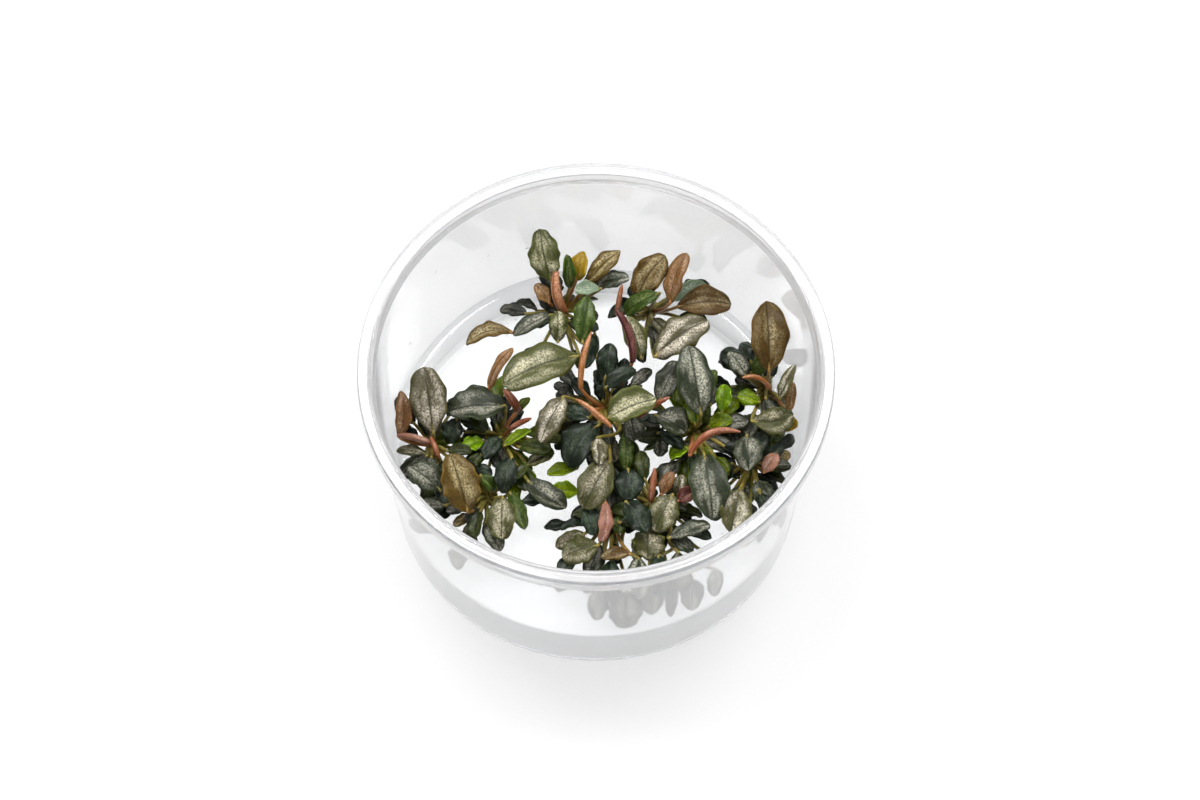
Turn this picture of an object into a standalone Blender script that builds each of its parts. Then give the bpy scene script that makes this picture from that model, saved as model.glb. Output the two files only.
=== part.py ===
"""A culture cup of bucephalandra: a clear flanged cup, the gel in it, and eleven plantlets on the gel.

Lengths are millimetres until a mesh is made, which is in metres. +Z is up, the front is -Y, and the
origin is the middle of the cup's flat base. Each big leaf is a node. The small leaves of a plantlet
are fused with its creeping stem and its leaf stalks, as they grow.
"""
import math

import bmesh
import bpy
from mathutils import Vector
from mathutils.bvhtree import BVHTree

MM = 0.001
UP = Vector((0.0, 0.0, 1.0))

# The cup
RIM_RADIUS = 50.0        # outer radius of the flange
CUP_HEIGHT = 53.4
MOUTH_RADIUS = 46.9      # inner edge of the flange
FLANGE_THICK = 1.1
SKIRT_DEPTH = 3.7        # the flange turns down by this much all round
SKIRT_THICK = 0.8
BEAD = 0.45              # ring inside the mouth that a lid snaps under
BEAD_DROP = 3.0          # how far below the top the bead's middle lies
WALL = 0.9
FLOOR = 1.2
FOOT_RADIUS = 43.8       # the flat that the cup stands on
HEEL = 1.4               # radius of the corner between base and wall
RIM_EDGE = 0.5           # rounding of the flange's edges
CUP_STEPS = 48

# The gel
GEL_LEVEL = 15.1
MENISCUS = 0.9           # how far the gel creeps up the wall
MENISCUS_WIDTH = 2.4

# The plants
GAP = 0.3                # air between neighbouring nodes
LEAF_THICK = 0.6
STALK_RADIUS = 0.5
STEM_RADIUS = 1.5
ARCH = 0.10              # height of a blade's arch over its length
FOLD = 0.30              # slope of each half blade up from the midrib
OUTLINE_SKEW = 1.05      # above 1 the blade is widest nearer its tip
OUTLINE_FULL = 0.55      # below 1 the blade's outline is fuller than a sine arch
LEAF_ROWS = 6
SPRIG_ROWS = 4
STALK_POINTS = 4
CANOPY = 25.0            # level at which the places of leaves are given
LEAN = 0.523             # the whole tuft leans to the front by this much per millimetre of height
SPREAD = 567.0           # and draws in by one part in this per millimetre

# Plantlet: middle of its creeping stem, and the way that the stem runs in degrees
PLANTS = {
    "a": ((-35.5, -6.0), 100),
    "b": ((-22.0, -3.5), 40),
    "c": ((-24.5, -18.5), 20),
    "d": ((-8.0, 27.0), 75),
    "e": ((11.0, 28.5), 10),
    "f": ((1.5, 3.0), 60),
    "g": ((21.5, -2.5), 100),
    "h": ((37.0, 8.5), 80),
    "i": ((33.5, -10.5), 70),
    "j": ((11.5, -19.5), 0),
    "k": ((2.5, -23.5), 30),
}

# Big leaves, from the top of the tuft down: plantlet, blade or roll, foot, tip, width, roll about the
# axis in degrees, sideways bow, tone. A roll is a young leaf that has not opened.
LEAVES = [
    ("a", "blade", (-35.4, -1.8, 26), (-37.9, 14.5, 34), 8.0, 0, 0, "silver"),
    ("c", "blade", (-27.5, -20.5, 27), (-31.5, -6.5, 35), 8.0, 0, 0, "bronze"),
    ("d", "blade", (-3.8, 17.6, 32), (-20.4, 10.8, 34), 9.5, 0, 0, "olive"),
    ("f", "blade", (-7.0, 7.4, 32), (-12.2, -3.2, 31), 5.5, 0, 0, "silver"),
    ("f", "blade", (2.5, 2.0, 33), (13.0, 7.0, 36), 7.5, 0, 0, "olive"),
    ("f", "roll", (-3.4, 9.4, 31), (-1.0, 23.2, 37), 1.6, 0, -0.6, "coral"),
    ("f", "roll", (8.1, 15.9, 30), (4.3, 29.0, 38), 2.6, 0, 1, "maroon"),
    ("g", "blade", (22.9, 2.8, 30), (20.5, 19.7, 38), 8.0, 0, 0, "slate"),
    ("h", "blade", (38.1, 13.5, 29), (38.0, 30.5, 38), 8.3, 0, 0, "bronze"),
    ("e", "blade", (12.8, 17.2, 31), (24.4, 26.5, 36), 8.0, 0, 0, "silver"),
    ("d", "blade", (-10.0, 36.4, 30), (-12.6, 49.0, 38), 7.0, 0, -0.6, "olive"),
    ("e", "blade", (16.4, 30.6, 30), (20.0, 42.8, 38), 4.8, 20, 0, "rust"),
    ("e", "blade", (9.2, 31.4, 29), (15.4, 42.4, 35), 7.0, 0, -0.6, "bronze"),
    ("e", "blade", (18.0, 29.8, 28), (30.0, 31.0, 29), 6.8, 0, 0, "bronze"),
    ("g", "blade", (23.4, -6.5, 30), (25.1, -21.9, 27), 8.5, 0, 0, "slate"),
    ("f", "blade", (3.0, -8.0, 29), (-2.7, -19.7, 26), 7.5, 0, 0, "olive"),
    ("c", "blade", (-20.2, -16.9, 27), (-20.2, -26.9, 26), 6.2, 0, 0, "olive"),
    ("b", "blade", (-19.8, 5.0, 27), (-32.1, 4.3, 28), 8.6, 0, 0, "slate"),
    ("i", "blade", (32.8, -2.1, 29), (33.0, -10.6, 28), 6.3, 0, 0, "slate"),
    ("h", "blade", (34.0, 1.5, 28), (43.1, 3.0, 27), 6.0, -20, 1, "olive"),
    ("f", "blade", (0.6, 0.5, 29), (-6.0, -9.5, 26), 7.4, 0, 0.8, "teal"),
    ("g", "blade", (13.6, 5.8, 29), (18.0, 16.0, 32), 5.5, 0, 0, "slate"),
    ("g", "blade", (12.8, 2.9, 29), (19.7, -1.2, 27), 6.5, 0, 0, "slate"),
    ("k", "blade", (0.4, -28.4, 25), (-7.2, -31.2, 24), 6.4, 0, 0, "olive"),
    ("j", "blade", (16.5, -16.3, 28), (12.5, -25.0, 26), 6.5, 0, 0, "olive"),
    ("j", "blade", (7.0, -10.3, 27), (7.0, -17.7, 26), 6.5, 0, 0, "teal"),
    ("k", "blade", (11.0, -24.8, 25), (11.0, -32.0, 23), 7.0, 0, 0, "olive"),
    ("k", "blade", (2.0, -18.0, 27), (1.5, -27.3, 26), 3.2, 30, 0, "blush"),
    ("g", "roll", (20.3, -6.8, 30), (31.4, -1.2, 33), 1.9, 0, -2.2, "coral"),
    ("e", "blade", (10.0, 16.9, 30), (7.0, 27.2, 34), 4.8, 0, 0, "olive"),
    ("d", "blade", (-3.1, 20.6, 29), (-2.2, 32.2, 34), 4.8, 0, 0, "moss"),
    ("d", "blade", (-1.9, 35.9, 29), (5.0, 43.9, 34), 4.8, 0, 0, "bronze"),
    ("d", "blade", (-18.4, 23.4, 26), (-28.7, 20.2, 25), 4.0, 0, 1.4, "bronze"),
    ("d", "blade", (-10.0, 27.8, 29), (-18.3, 22.7, 28), 4.0, 0, 0, "slate"),
    ("a", "blade", (-43.0, -2.5, 25), (-42.8, 8.5, 31), 3.5, 0, 1, "rust"),
    ("a", "blade", (-33.5, -15.5, 24), (-40.3, -9.5, 27), 6.0, 0, 0, "slate"),
    ("b", "blade", (-23.6, 9.4, 26), (-19.2, 19.3, 33), 3.0, 20, 0, "rust"),
    ("b", "blade", (-18.3, -7.3, 26), (-20.3, -15.8, 25), 4.8, 0, 0, "teal"),
    ("b", "blade", (-14.8, -13.0, 25), (-6.4, -19.6, 23), 5.4, 0, 1, "slate"),
    ("d", "blade", (-0.5, 35.0, 30), (7.2, 37.3, 31), 4.0, 0, 0, "slate"),
    ("i", "blade", (31.0, -15.0, 26), (28.8, -25.3, 24), 6.6, 0, 0, "silver"),
    ("h", "blade", (33.0, 12.4, 28), (29.6, 18.4, 31), 4.5, 0, 0, "slate"),
    ("j", "blade", (6.5, -18.0, 25), (11.0, -25.0, 24), 5.5, 0, 0, "teal"),
    ("j", "blade", (15.4, -26.7, 25), (24.3, -23.3, 26), 3.4, 0, 0, "slate"),
    ("i", "blade", (34.5, -13.0, 25), (36.8, -19.0, 22), 5.0, 0, 0, "slate"),
    ("b", "blade", (-30.2, 2.0, 25), (-32.2, -3.9, 23), 4.5, 0, 0, "teal"),
    ("k", "blade", (-2.0, -18.7, 24), (-0.3, -26.3, 23), 4.0, 0, 0, "teal"),
]

# Small leaves that stay fused with their plantlet, in the same terms
SPRIGS = [
    ("a", "roll", (-36.0, -4.0, 24), (-43.3, -2.0, 27), 2.0, 0, 0, "blush"),
    ("a", "blade", (-36.8, -6.8, 23), (-43.3, -5.7, 23), 2.6, 0, 0, "olive"),
    ("a", "roll", (-34.2, -7.4, 24), (-36.0, -2.5, 26), 1.6, 0, 0, "coral"),
    ("a", "blade", (-36.5, -13.0, 22), (-40.5, -12.5, 22), 3.0, 0, 0, "slate"),
    ("b", "blade", (-24.5, -3.5, 23), (-29.2, -6.0, 24), 3.6, 0, 0, "lime"),
    ("b", "blade", (-28.2, -4.0, 21), (-31.5, -7.5, 21), 3.0, 0, 0, "lime"),
    ("b", "blade", (-20.8, -2.6, 25), (-24.4, -7.4, 26), 3.6, 0, 0, "teal"),
    ("b", "roll", (-17.0, 4.0, 24), (-20.3, 9.2, 29), 2.8, 0, 0, "coral"),
    ("b", "roll", (-19.0, -1.0, 22), (-14.2, 2.0, 26), 1.5, 0, 0, "coral"),
    ("b", "blade", (-20.0, -4.7, 22), (-14.2, -0.6, 24), 2.2, 0, 0, "lime"),
    ("b", "blade", (-16.8, -5.0, 24), (-10.0, -5.2, 26), 4.0, 0, 0, "moss"),
    ("b", "blade", (-15.0, -9.5, 22), (-9.4, -6.5, 23), 3.0, 0, 0, "olive"),
    ("c", "blade", (-26.6, -10.5, 23), (-22.6, -11.5, 24), 3.0, 0, 0, "teal"),
    ("c", "blade", (-24.9, -11.9, 23), (-21.6, -15.2, 24), 3.0, 0, 0, "moss"),
    ("c", "blade", (-24.0, -23.5, 23), (-20.3, -29.7, 22), 4.0, 0, 0, "slate"),
    ("c", "blade", (-18.6, -16.0, 24), (-15.2, -24.7, 24), 3.5, 0, 0, "moss"),
    ("c", "blade", (-30.0, -16.0, 22), (-35.0, -18.5, 21), 4.0, 0, 0, "slate"),
    ("c", "blade", (-26.5, -21.5, 21), (-30.5, -24.0, 21), 2.4, 0, 0, "bronze"),
    ("d", "roll", (-7.0, 28.5, 27), (-9.0, 38.4, 33), 3.2, 0, -1, "coral"),
    ("d", "blade", (-4.5, 36.5, 28), (-3.0, 43.4, 33), 4.2, 0, 0, "apricot"),
    ("d", "blade", (-6.0, 34.5, 28), (-6.6, 42.6, 32), 2.8, 0, 0, "moss"),
    ("d", "blade", (-10.5, 31.0, 26), (-13.6, 35.6, 28), 3.0, 0, 0, "rust"),
    ("d", "blade", (0.9, 34.2, 31), (-4.8, 33.9, 31), 3.2, 0, 0, "mint"),
    ("d", "blade", (-8.5, 21.0, 26), (-8.5, 28.4, 29), 4.0, 0, 0, "olive"),
    ("e", "roll", (4.6, 28.0, 26), (5.8, 35.3, 32), 1.3, 0, 0, "coral"),
    ("e", "blade", (14.1, 33.1, 27), (6.4, 28.1, 27), 4.0, 0, 0, "moss"),
    ("e", "blade", (17.0, 31.5, 25), (24.5, 36.0, 27), 3.4, 0, 0, "mint"),
    ("e", "blade", (13.0, 24.0, 24), (18.5, 22.0, 25), 3.0, 0, 0, "moss"),
    ("f", "blade", (-1.5, 2.2, 28), (-7.0, 3.8, 27), 4.0, 0, 0, "teal"),
    ("f", "blade", (-0.3, 23.0, 27), (-2.3, 14.8, 27), 3.5, 0, 0, "teal"),
    ("f", "blade", (2.0, 9.5, 27), (8.5, 14.3, 29), 4.0, 0, 0, "teal"),
    ("f", "blade", (2.0, 12.0, 25), (3.0, 20.5, 29), 4.5, 0, 0, "teal"),
    ("f", "roll", (3.1, 0.3, 29), (-4.4, 6.7, 34), 1.4, 0, 0, "coral"),
    ("f", "roll", (9.4, 2.5, 29), (16.1, 7.2, 34), 1.4, 0, 0, "coral"),
    ("f", "blade", (7.5, 2.7, 27), (8.5, -3.4, 27), 5.0, 0, 0, "slate"),
    ("f", "blade", (6.5, -1.0, 25), (6.5, -10.4, 23), 3.3, 0, 0, "moss"),
    ("f", "blade", (-4.0, -10.0, 22), (-10.6, -11.6, 22), 3.2, 0, 0, "lime"),
    ("f", "blade", (0.5, -2.5, 27), (0.7, -8.7, 26), 3.6, 0, 0, "silver"),
    ("g", "blade", (13.5, -1.5, 25), (19.0, -4.8, 25), 3.0, 0, 0, "teal"),
    ("g", "blade", (14.5, -2.5, 23), (13.6, -7.4, 22), 3.2, 0, 0, "slate"),
    ("g", "blade", (20.0, -5.5, 24), (15.8, -7.4, 24), 3.0, 0, 0, "lime"),
    ("g", "blade", (27.5, 3.5, 25), (28.2, 10.4, 27), 3.4, 0, 0, "lime"),
    ("g", "blade", (24.5, 0.0, 24), (29.5, 2.0, 25), 3.4, 0, 0, "lime"),
    ("g", "blade", (24.0, 7.5, 24), (26.0, 14.0, 27), 3.0, 0, 0, "moss"),
    ("h", "blade", (35.8, 6.0, 24), (31.2, 8.0, 25), 3.6, 0, 0, "lime"),
    ("h", "roll", (38.3, 9.3, 25), (32.2, 12.0, 28), 1.4, 0, 1, "coral"),
    ("h", "blade", (40.2, 6.8, 27), (43.6, 15.0, 30), 2.6, 0, 0, "silver"),
    ("h", "blade", (42.0, 3.0, 24), (43.2, 11.0, 28), 2.2, 0, 0, "rust"),
    ("h", "blade", (40.0, -1.5, 24), (43.4, 2.0, 24), 4.0, 0, 0, "apricot"),
    ("h", "blade", (35.5, 12.0, 25), (36.0, 17.5, 28), 3.0, 0, 0, "moss"),
    ("i", "blade", (38.0, -4.5, 25), (40.0, 1.2, 25), 3.6, 0, 0, "moss"),
    ("i", "blade", (34.2, 3.0, 25), (33.4, -2.6, 24), 4.0, 0, 0, "slate"),
    ("i", "blade", (36.2, -11.1, 25), (39.4, -6.7, 27), 3.2, 0, 0, "blush"),
    ("i", "blade", (38.0, -10.6, 22), (41.8, -6.0, 23), 3.0, 0, 0, "bronze"),
    ("i", "blade", (29.5, -9.0, 24), (27.0, -13.0, 22), 3.4, 0, 0, "teal"),
    ("i", "blade", (31.5, -13.5, 23), (32.5, -19.5, 21), 4.2, 0, 0, "slate"),
    ("j", "roll", (11.8, -18.0, 25), (12.7, -10.0, 30), 1.8, 0, 0, "coral"),
    ("j", "blade", (14.0, -16.5, 25), (16.5, -11.0, 28), 3.0, 0, 0, "rust"),
    ("j", "blade", (17.5, -16.5, 25), (18.6, -11.7, 27), 3.2, 0, 0, "silver"),
    ("j", "blade", (17.5, -18.0, 24), (21.5, -15.2, 25), 3.4, 0, 0, "maroon"),
    ("j", "blade", (15.9, -26.9, 23), (20.8, -29.8, 22), 3.4, 0, 0, "slate"),
    ("k", "blade", (6.0, -35.5, 22), (5.9, -47.6, 19), 7.0, 0, 0, "slate"),
    ("k", "blade", (0.4, -34.5, 22), (0.2, -45.0, 20), 4.2, 0, 0, "slate"),
    ("j", "blade", (11.2, -34.5, 22), (11.5, -43.6, 20), 5.0, 0, 0, "slate"),
    ("j", "blade", (15.4, -35.0, 22), (15.5, -44.8, 20), 2.6, 0, 0, "slate"),
    ("j", "blade", (19.2, -33.5, 22), (19.8, -43.4, 20), 5.0, 0, 0, "slate"),
    ("j", "blade", (23.6, -31.0, 22), (24.8, -41.0, 20), 4.0, 0, 0, "slate"),
    ("k", "blade", (3.2, -32.0, 24), (3.0, -39.5, 22), 4.0, 0, 0, "teal"),
    ("j", "blade", (9.0, -31.5, 24), (8.8, -39.0, 22), 4.0, 0, 0, "slate"),
    ("j", "blade", (13.4, -31.0, 24), (13.4, -38.5, 22), 4.0, 0, 0, "teal"),
    ("j", "blade", (17.4, -30.0, 24), (17.6, -37.5, 22), 4.0, 0, 0, "slate"),
    ("k", "blade", (4.8, -21.7, 23), (4.8, -25.6, 23), 3.2, 0, 0, "moss"),
    ("k", "blade", (7.3, -30.5, 22), (1.2, -31.0, 22), 3.0, 0, 0, "bronze"),
    ("k", "blade", (-3.7, -16.0, 22), (-10.2, -16.0, 22), 4.0, 0, 0, "lime"),
]

# Colour of each tone: red, green, blue
TONES = {
    "silver": (0.20, 0.21, 0.15),
    "olive": (0.13, 0.14, 0.07),
    "bronze": (0.12, 0.08, 0.04),
    "slate": (0.07, 0.09, 0.07),
    "teal": (0.03, 0.08, 0.06),
    "moss": (0.06, 0.12, 0.04),
    "mint": (0.35, 0.42, 0.33),
    "lime": (0.18, 0.40, 0.05),
    "coral": (0.50, 0.17, 0.09),
    "rust": (0.26, 0.11, 0.06),
    "maroon": (0.20, 0.05, 0.05),
    "blush": (0.42, 0.24, 0.20),
    "apricot": (0.50, 0.26, 0.10),
    "stem": (0.30, 0.22, 0.07),
}


def clear_scene():
    for old in list(bpy.data.objects):
        bpy.data.objects.remove(old, do_unlink=True)


def collection(name):
    group = bpy.data.collections.new(name)
    bpy.context.scene.collection.children.link(group)
    return group


def material(name, colour, roughness, alpha=1.0):
    made = bpy.data.materials.new(name)
    made.use_nodes = True
    shader = made.node_tree.nodes["Principled BSDF"]
    shader.inputs["Base Color"].default_value = (*colour, 1.0)
    shader.inputs["Roughness"].default_value = roughness
    shader.inputs["Metallic"].default_value = 0.0
    shader.inputs["Alpha"].default_value = alpha
    return made


def add_object(name, mesh, group, finish=None):
    made = bpy.data.objects.new(name, mesh)
    group.objects.link(made)
    if finish:
        mesh.materials.append(finish)
    return made


# ---- cup and gel -------------------------------------------------------------------------------

def inner_radius(z):
    """Radius of the cup's inside at height z: the wall flares evenly from heel to mouth."""
    base = FOOT_RADIUS + HEEL - WALL
    return base + (MOUTH_RADIUS - base) * z / CUP_HEIGHT


def turned(name, profile, group, finish):
    """A closed solid from a half section, given as (radius, height), outer side from the top down."""
    mesh = bpy.data.meshes.new(name)
    points = [(radius * MM, 0.0, height * MM) for radius, height in profile]
    mesh.from_pydata(points, [(n, n + 1) for n in range(len(points) - 1)], [])
    made = add_object(name, mesh, group, finish)
    screw = made.modifiers.new("Screw", "SCREW")
    screw.axis = "Z"
    screw.steps = screw.render_steps = CUP_STEPS
    screw.use_merge_vertices = True
    screw.merge_threshold = 0.00005
    mesh.shade_smooth()
    return made


def arc(middle, radius, start, end, count):
    """Points on part of a circle in the half section, angles in degrees from the +radius way."""
    angles = [math.radians(start + (end - start) * n / count) for n in range(count + 1)]
    return [(middle[0] + radius * math.cos(a), middle[1] + radius * math.sin(a)) for a in angles]


def make_cup(group):
    """The cup: from the middle of its floor up the inside, over the flange, and down to the base."""
    skirt_foot = CUP_HEIGHT - SKIRT_DEPTH
    under_flange = CUP_HEIGHT - FLANGE_THICK
    skirt_inside = RIM_RADIUS - SKIRT_THICK
    bead_level = CUP_HEIGHT - BEAD_DROP
    inner = [(0.0, FLOOR)]
    inner += arc((inner_radius(FLOOR) - HEEL, FLOOR + HEEL), HEEL, -90, 0, 3)
    inner += [(inner_radius(bead_level), bead_level - 2 * BEAD)]
    inner += [(inner_radius(bead_level) - BEAD, bead_level)]
    inner += [(inner_radius(bead_level), bead_level + 2 * BEAD)]
    outer = [(MOUTH_RADIUS, CUP_HEIGHT - RIM_EDGE), (MOUTH_RADIUS + RIM_EDGE, CUP_HEIGHT)]
    outer += arc((RIM_RADIUS - RIM_EDGE, CUP_HEIGHT - RIM_EDGE), RIM_EDGE, 90, 0, 2)
    outer += [(RIM_RADIUS, skirt_foot), (skirt_inside, skirt_foot), (skirt_inside, under_flange)]
    outer += [(inner_radius(under_flange) + WALL, under_flange)]
    outer += arc((FOOT_RADIUS, HEEL), HEEL, 0, -90, 3)
    outer += [(0.0, 0.0)]
    finish = material("clear cup plastic", (0.93, 0.94, 0.95), 0.12, 0.3)
    return turned("cup", inner + outer, group, finish)


def make_gel(group):
    """The gel: a disc that fills the cup to its level and creeps a little way up the wall."""
    wall = inner_radius(GEL_LEVEL) - GAP
    bottom = FLOOR + GAP
    profile = [(0.0, GEL_LEVEL)]
    for n in range(4):
        share = n / 3
        profile.append((wall - MENISCUS_WIDTH * (1 - share), GEL_LEVEL + MENISCUS * share ** 2))
    profile += arc((inner_radius(FLOOR) - HEEL - GAP, bottom + HEEL), HEEL, 0, -90, 3)
    profile += [(0.0, bottom)]
    return turned("gel", profile, group, material("culture gel", (0.86, 0.88, 0.87), 0.2, 0.6))


# ---- where each leaf goes ----------------------------------------------------------------------

def place(spot):
    """The place of a point that is given at canopy level, with its own height: the tuft leans."""
    x, y, z = spot
    rise = z - CANOPY
    return Vector((x * (1 - rise / SPREAD), y - LEAN * rise, z))


class Leaf:
    """One leaf in its settled place: its foot, tip, frame and shape."""

    def __init__(self, row, fused, foot_rise=0.0, tip_rise=0.0, shrink=1.0):
        self.plant, self.kind, foot, tip, width, roll, bow, self.tone = row
        self.foot = place((foot[0], foot[1], foot[2] + foot_rise))
        tip = place((tip[0], tip[1], tip[2] + tip_rise))
        self.tip = self.foot.lerp(tip, shrink)
        self.width = width * shrink
        self.fused = fused
        self.rows = SPRIG_ROWS if fused else LEAF_ROWS
        self.bow = bow
        along = self.tip - self.foot
        self.length = along.length
        self.axis = along.normalized()
        flat = self.axis.cross(UP).normalized()
        rise = flat.cross(self.axis)
        turn = math.radians(roll)
        self.side = flat * math.cos(turn) + rise * math.sin(turn)
        self.face = self.side.cross(self.axis)

    def midrib(self, u):
        bend = 4 * u * (1 - u)
        spine = self.foot.lerp(self.tip, u) + self.face * (ARCH * self.length * bend)
        return spine + self.side * (self.bow * bend)

    def half_width(self, u):
        full = math.sin(math.pi * u ** OUTLINE_SKEW) ** OUTLINE_FULL if 0 < u < 1 else 0.0
        return max(0.5 * self.width * full, 0.35)

    def point(self, u, v, lift=0.0, grow=0.0):
        """A point of the blade: u from foot to tip, v from margin to margin, lift off its face."""
        reach = v * (self.half_width(u) + grow)
        fold = FOLD if self.kind == "blade" else 0.0
        return self.midrib(u) + self.side * reach + self.face * (fold * abs(reach) + lift)

    def radius(self, u):
        """Radius of a rolled leaf: a slender spindle."""
        return 0.5 * self.width * (0.45 + 0.55 * math.sin(math.pi * min(0.15 + 0.8 * u, 1.0)))

    def solid(self, grow=0.0):
        """Corners and faces of the leaf's closed form, all round bigger by grow."""
        shares = [n / self.rows for n in range(self.rows + 1)]
        if self.kind == "roll":
            return tube_form([self.midrib(u) for u in shares], [self.radius(u) + grow for u in shares])
        corners = []
        for lift in (-LEAF_THICK / 2 - grow, LEAF_THICK / 2 + grow):
            corners += [self.point(u, v, lift, grow) for u in shares for v in (-1, 0, 1)]
        return corners, sheet_faces(len(shares), 3)


def sheet_faces(rows, columns):
    """Faces of a closed sheet whose lower layer of corners comes first, then its upper layer."""
    layer = rows * columns
    faces = []
    for row in range(rows - 1):
        for column in range(columns - 1):
            a = row * columns + column
            faces.append((a, a + columns, a + columns + 1, a + 1))
            faces.append((layer + a, layer + a + 1, layer + a + columns + 1, layer + a + columns))
    border = [column for column in range(columns)]
    border += [row * columns + columns - 1 for row in range(1, rows)]
    border += [(rows - 1) * columns + column for column in range(columns - 2, -1, -1)]
    border += [row * columns for row in range(rows - 2, 0, -1)]
    for n, a in enumerate(border):
        b = border[(n + 1) % len(border)]
        faces.append((a, b, layer + b, layer + a))
    return faces


def tube_form(spine, radii, sides=6):
    """Corners and faces of a closed tube along a row of points."""
    corners = []
    for n, middle in enumerate(spine):
        ahead = spine[min(n + 1, len(spine) - 1)] - spine[max(n - 1, 0)]
        across = ahead.cross(UP if abs(ahead.normalized().z) < 0.95 else Vector((1, 0, 0))).normalized()
        over = across.cross(ahead).normalized()
        for side in range(sides):
            angle = 2 * math.pi * side / sides
            corners.append(middle + (across * math.cos(angle) + over * math.sin(angle)) * radii[n])
    faces = [tuple(range(sides)), tuple(range(len(corners) - 1, len(corners) - sides - 1, -1))]
    for ring in range(len(spine) - 1):
        for side in range(sides):
            a = ring * sides + side
            b = ring * sides + (side + 1) % sides
            faces.append((a, a + sides, b + sides, b))
    return corners, faces


def tree(form):
    return BVHTree.FromPolygons([tuple(corner) for corner in form[0]], form[1])


def in_cup(corners):
    """Whether every corner is inside the cup and above the gel, with the gap to spare."""
    for corner in corners:
        if corner.z < GEL_LEVEL + 2 * GAP or corner.z > CUP_HEIGHT - 2:
            return False
        if corner.xy.length > inner_radius(corner.z) - 2 * GAP:
            return False
    return True


def hits(form, taken):
    probe = tree(form)
    return any(probe.overlap(other) for other in taken)


def slides():
    """Pairs of rises for foot and tip, the smallest first, down before up."""
    pairs = [(foot, tip) for foot in range(-6, 9) for tip in range(-6, 9)]
    return sorted(pairs, key=lambda p: (abs(p[0]) + abs(p[1]) + 0.4 * abs(p[0] - p[1]), p))


def free_places(row, fused, taken):
    """The leaf in each place that is free, the nearest first: higher or lower in the tuft, or smaller."""
    for shrink in (1.0, 0.88, 0.76):
        for foot_rise, tip_rise in slides():
            leaf = Leaf(row, fused, foot_rise, tip_rise, shrink)
            grown = leaf.solid(GAP + 0.15)
            if in_cup(grown[0]) and not hits(grown, taken):
                yield leaf


# ---- creeping stems and stalks -----------------------------------------------------------------

def stem_spine(plant):
    """The creeping stem's middle line: a short rod that lies on the gel and turns up at its end."""
    middle, heading = PLANTS[plant]
    level = GEL_LEVEL + GAP + STEM_RADIUS
    start = place((middle[0], middle[1], level))
    run = Vector((math.cos(math.radians(heading)), math.sin(math.radians(heading)), 0.0))
    return [start - run * 4, start - run * 1.5, start + run * 1.0 + UP * 0.6, start + run * 2.6 + UP * 2.6]


def stem_radii():
    return [STEM_RADIUS * 0.75, STEM_RADIUS, STEM_RADIUS, STEM_RADIUS * 0.7]


def stalk_routes(leaf):
    """Ways for a leaf's stalk from the creeping stem to the leaf's foot, the straightest first."""
    spine = stem_spine(leaf.plant)
    sink = 0.9 if leaf.fused else -GAP - 0.15
    end = leaf.midrib(0) + (leaf.midrib(0.08) - leaf.midrib(0)).normalized() * sink
    offsets = [(side, rise) for side in range(-8, 9, 2) for rise in range(-6, 9, 2)]
    offsets.sort(key=lambda o: (abs(o[0]) + abs(o[1]), o))
    for share in (0.55, 0.8, 0.3):
        for start in (spine[2], spine[1], spine[3]):
            across = (end - start).cross(UP).normalized()
            for side, rise in offsets:
                bend = start.lerp(end, share) + across * side + UP * (rise - 1.5)
                shares = [n / (STALK_POINTS - 1) for n in range(STALK_POINTS)]
                yield [start * (1 - t) ** 2 + bend * (2 * t * (1 - t)) + end * t ** 2 for t in shares]


def stalk_radii():
    return [STALK_RADIUS * (1.25 - 0.25 * n / (STALK_POINTS - 1)) for n in range(STALK_POINTS)]


def find_stalk(leaf, taken):
    """The first route that is clear of every leaf and of the other plantlets."""
    radii = [radius + GAP + 0.1 for radius in stalk_radii()]
    for route in stalk_routes(leaf):
        grown = tube_form(route, radii)
        if in_cup([corner for corner in grown[0][6:]]) and not hits(grown, taken):
            return route
    return None


def arrange():
    """Settles every leaf with its stalk, from the top of the tuft down, and returns the leaves."""
    stems = {plant: tree(tube_form(stem_spine(plant), stem_radii())) for plant in PLANTS}
    stalks = {plant: [] for plant in PLANTS}
    leaves = []
    for row, fused in [(row, False) for row in LEAVES] + [(row, True) for row in SPRIGS]:
        blades = [leaf.form for leaf in leaves]
        foreign = [form for plant in PLANTS if plant != row[0] for form in [stems[plant]] + stalks[plant]]
        for leaf in free_places(row, fused, blades + foreign + [stems[row[0]]] + stalks[row[0]]):
            leaf.stalk = find_stalk(leaf, blades + foreign)
            if leaf.stalk:
                break
        else:
            raise RuntimeError(f"no room for the leaf {row}")
        leaf.form = tree(leaf.solid())
        stalks[leaf.plant].append(tree(tube_form(leaf.stalk, stalk_radii())))
        leaves.append(leaf)
    return leaves


# ---- solids ------------------------------------------------------------------------------------

def blade_object(name, leaf, group, finish=None):
    """A blade: a flat grid bent to the leaf's shape, with a wall's thickness."""
    bm = bmesh.new()
    bmesh.ops.create_grid(bm, x_segments=2, y_segments=leaf.rows, size=1.0)
    for vert in bm.verts:
        vert.co = leaf.point((vert.co.y + 1) / 2, round(vert.co.x)) * MM
    mesh = bpy.data.meshes.new(name)
    bm.to_mesh(mesh)
    bm.free()
    made = add_object(name, mesh, group, finish)
    wall = made.modifiers.new("Solidify", "SOLIDIFY")
    wall.thickness = LEAF_THICK * MM
    wall.offset = 0.0
    mesh.shade_smooth()
    return made


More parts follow.
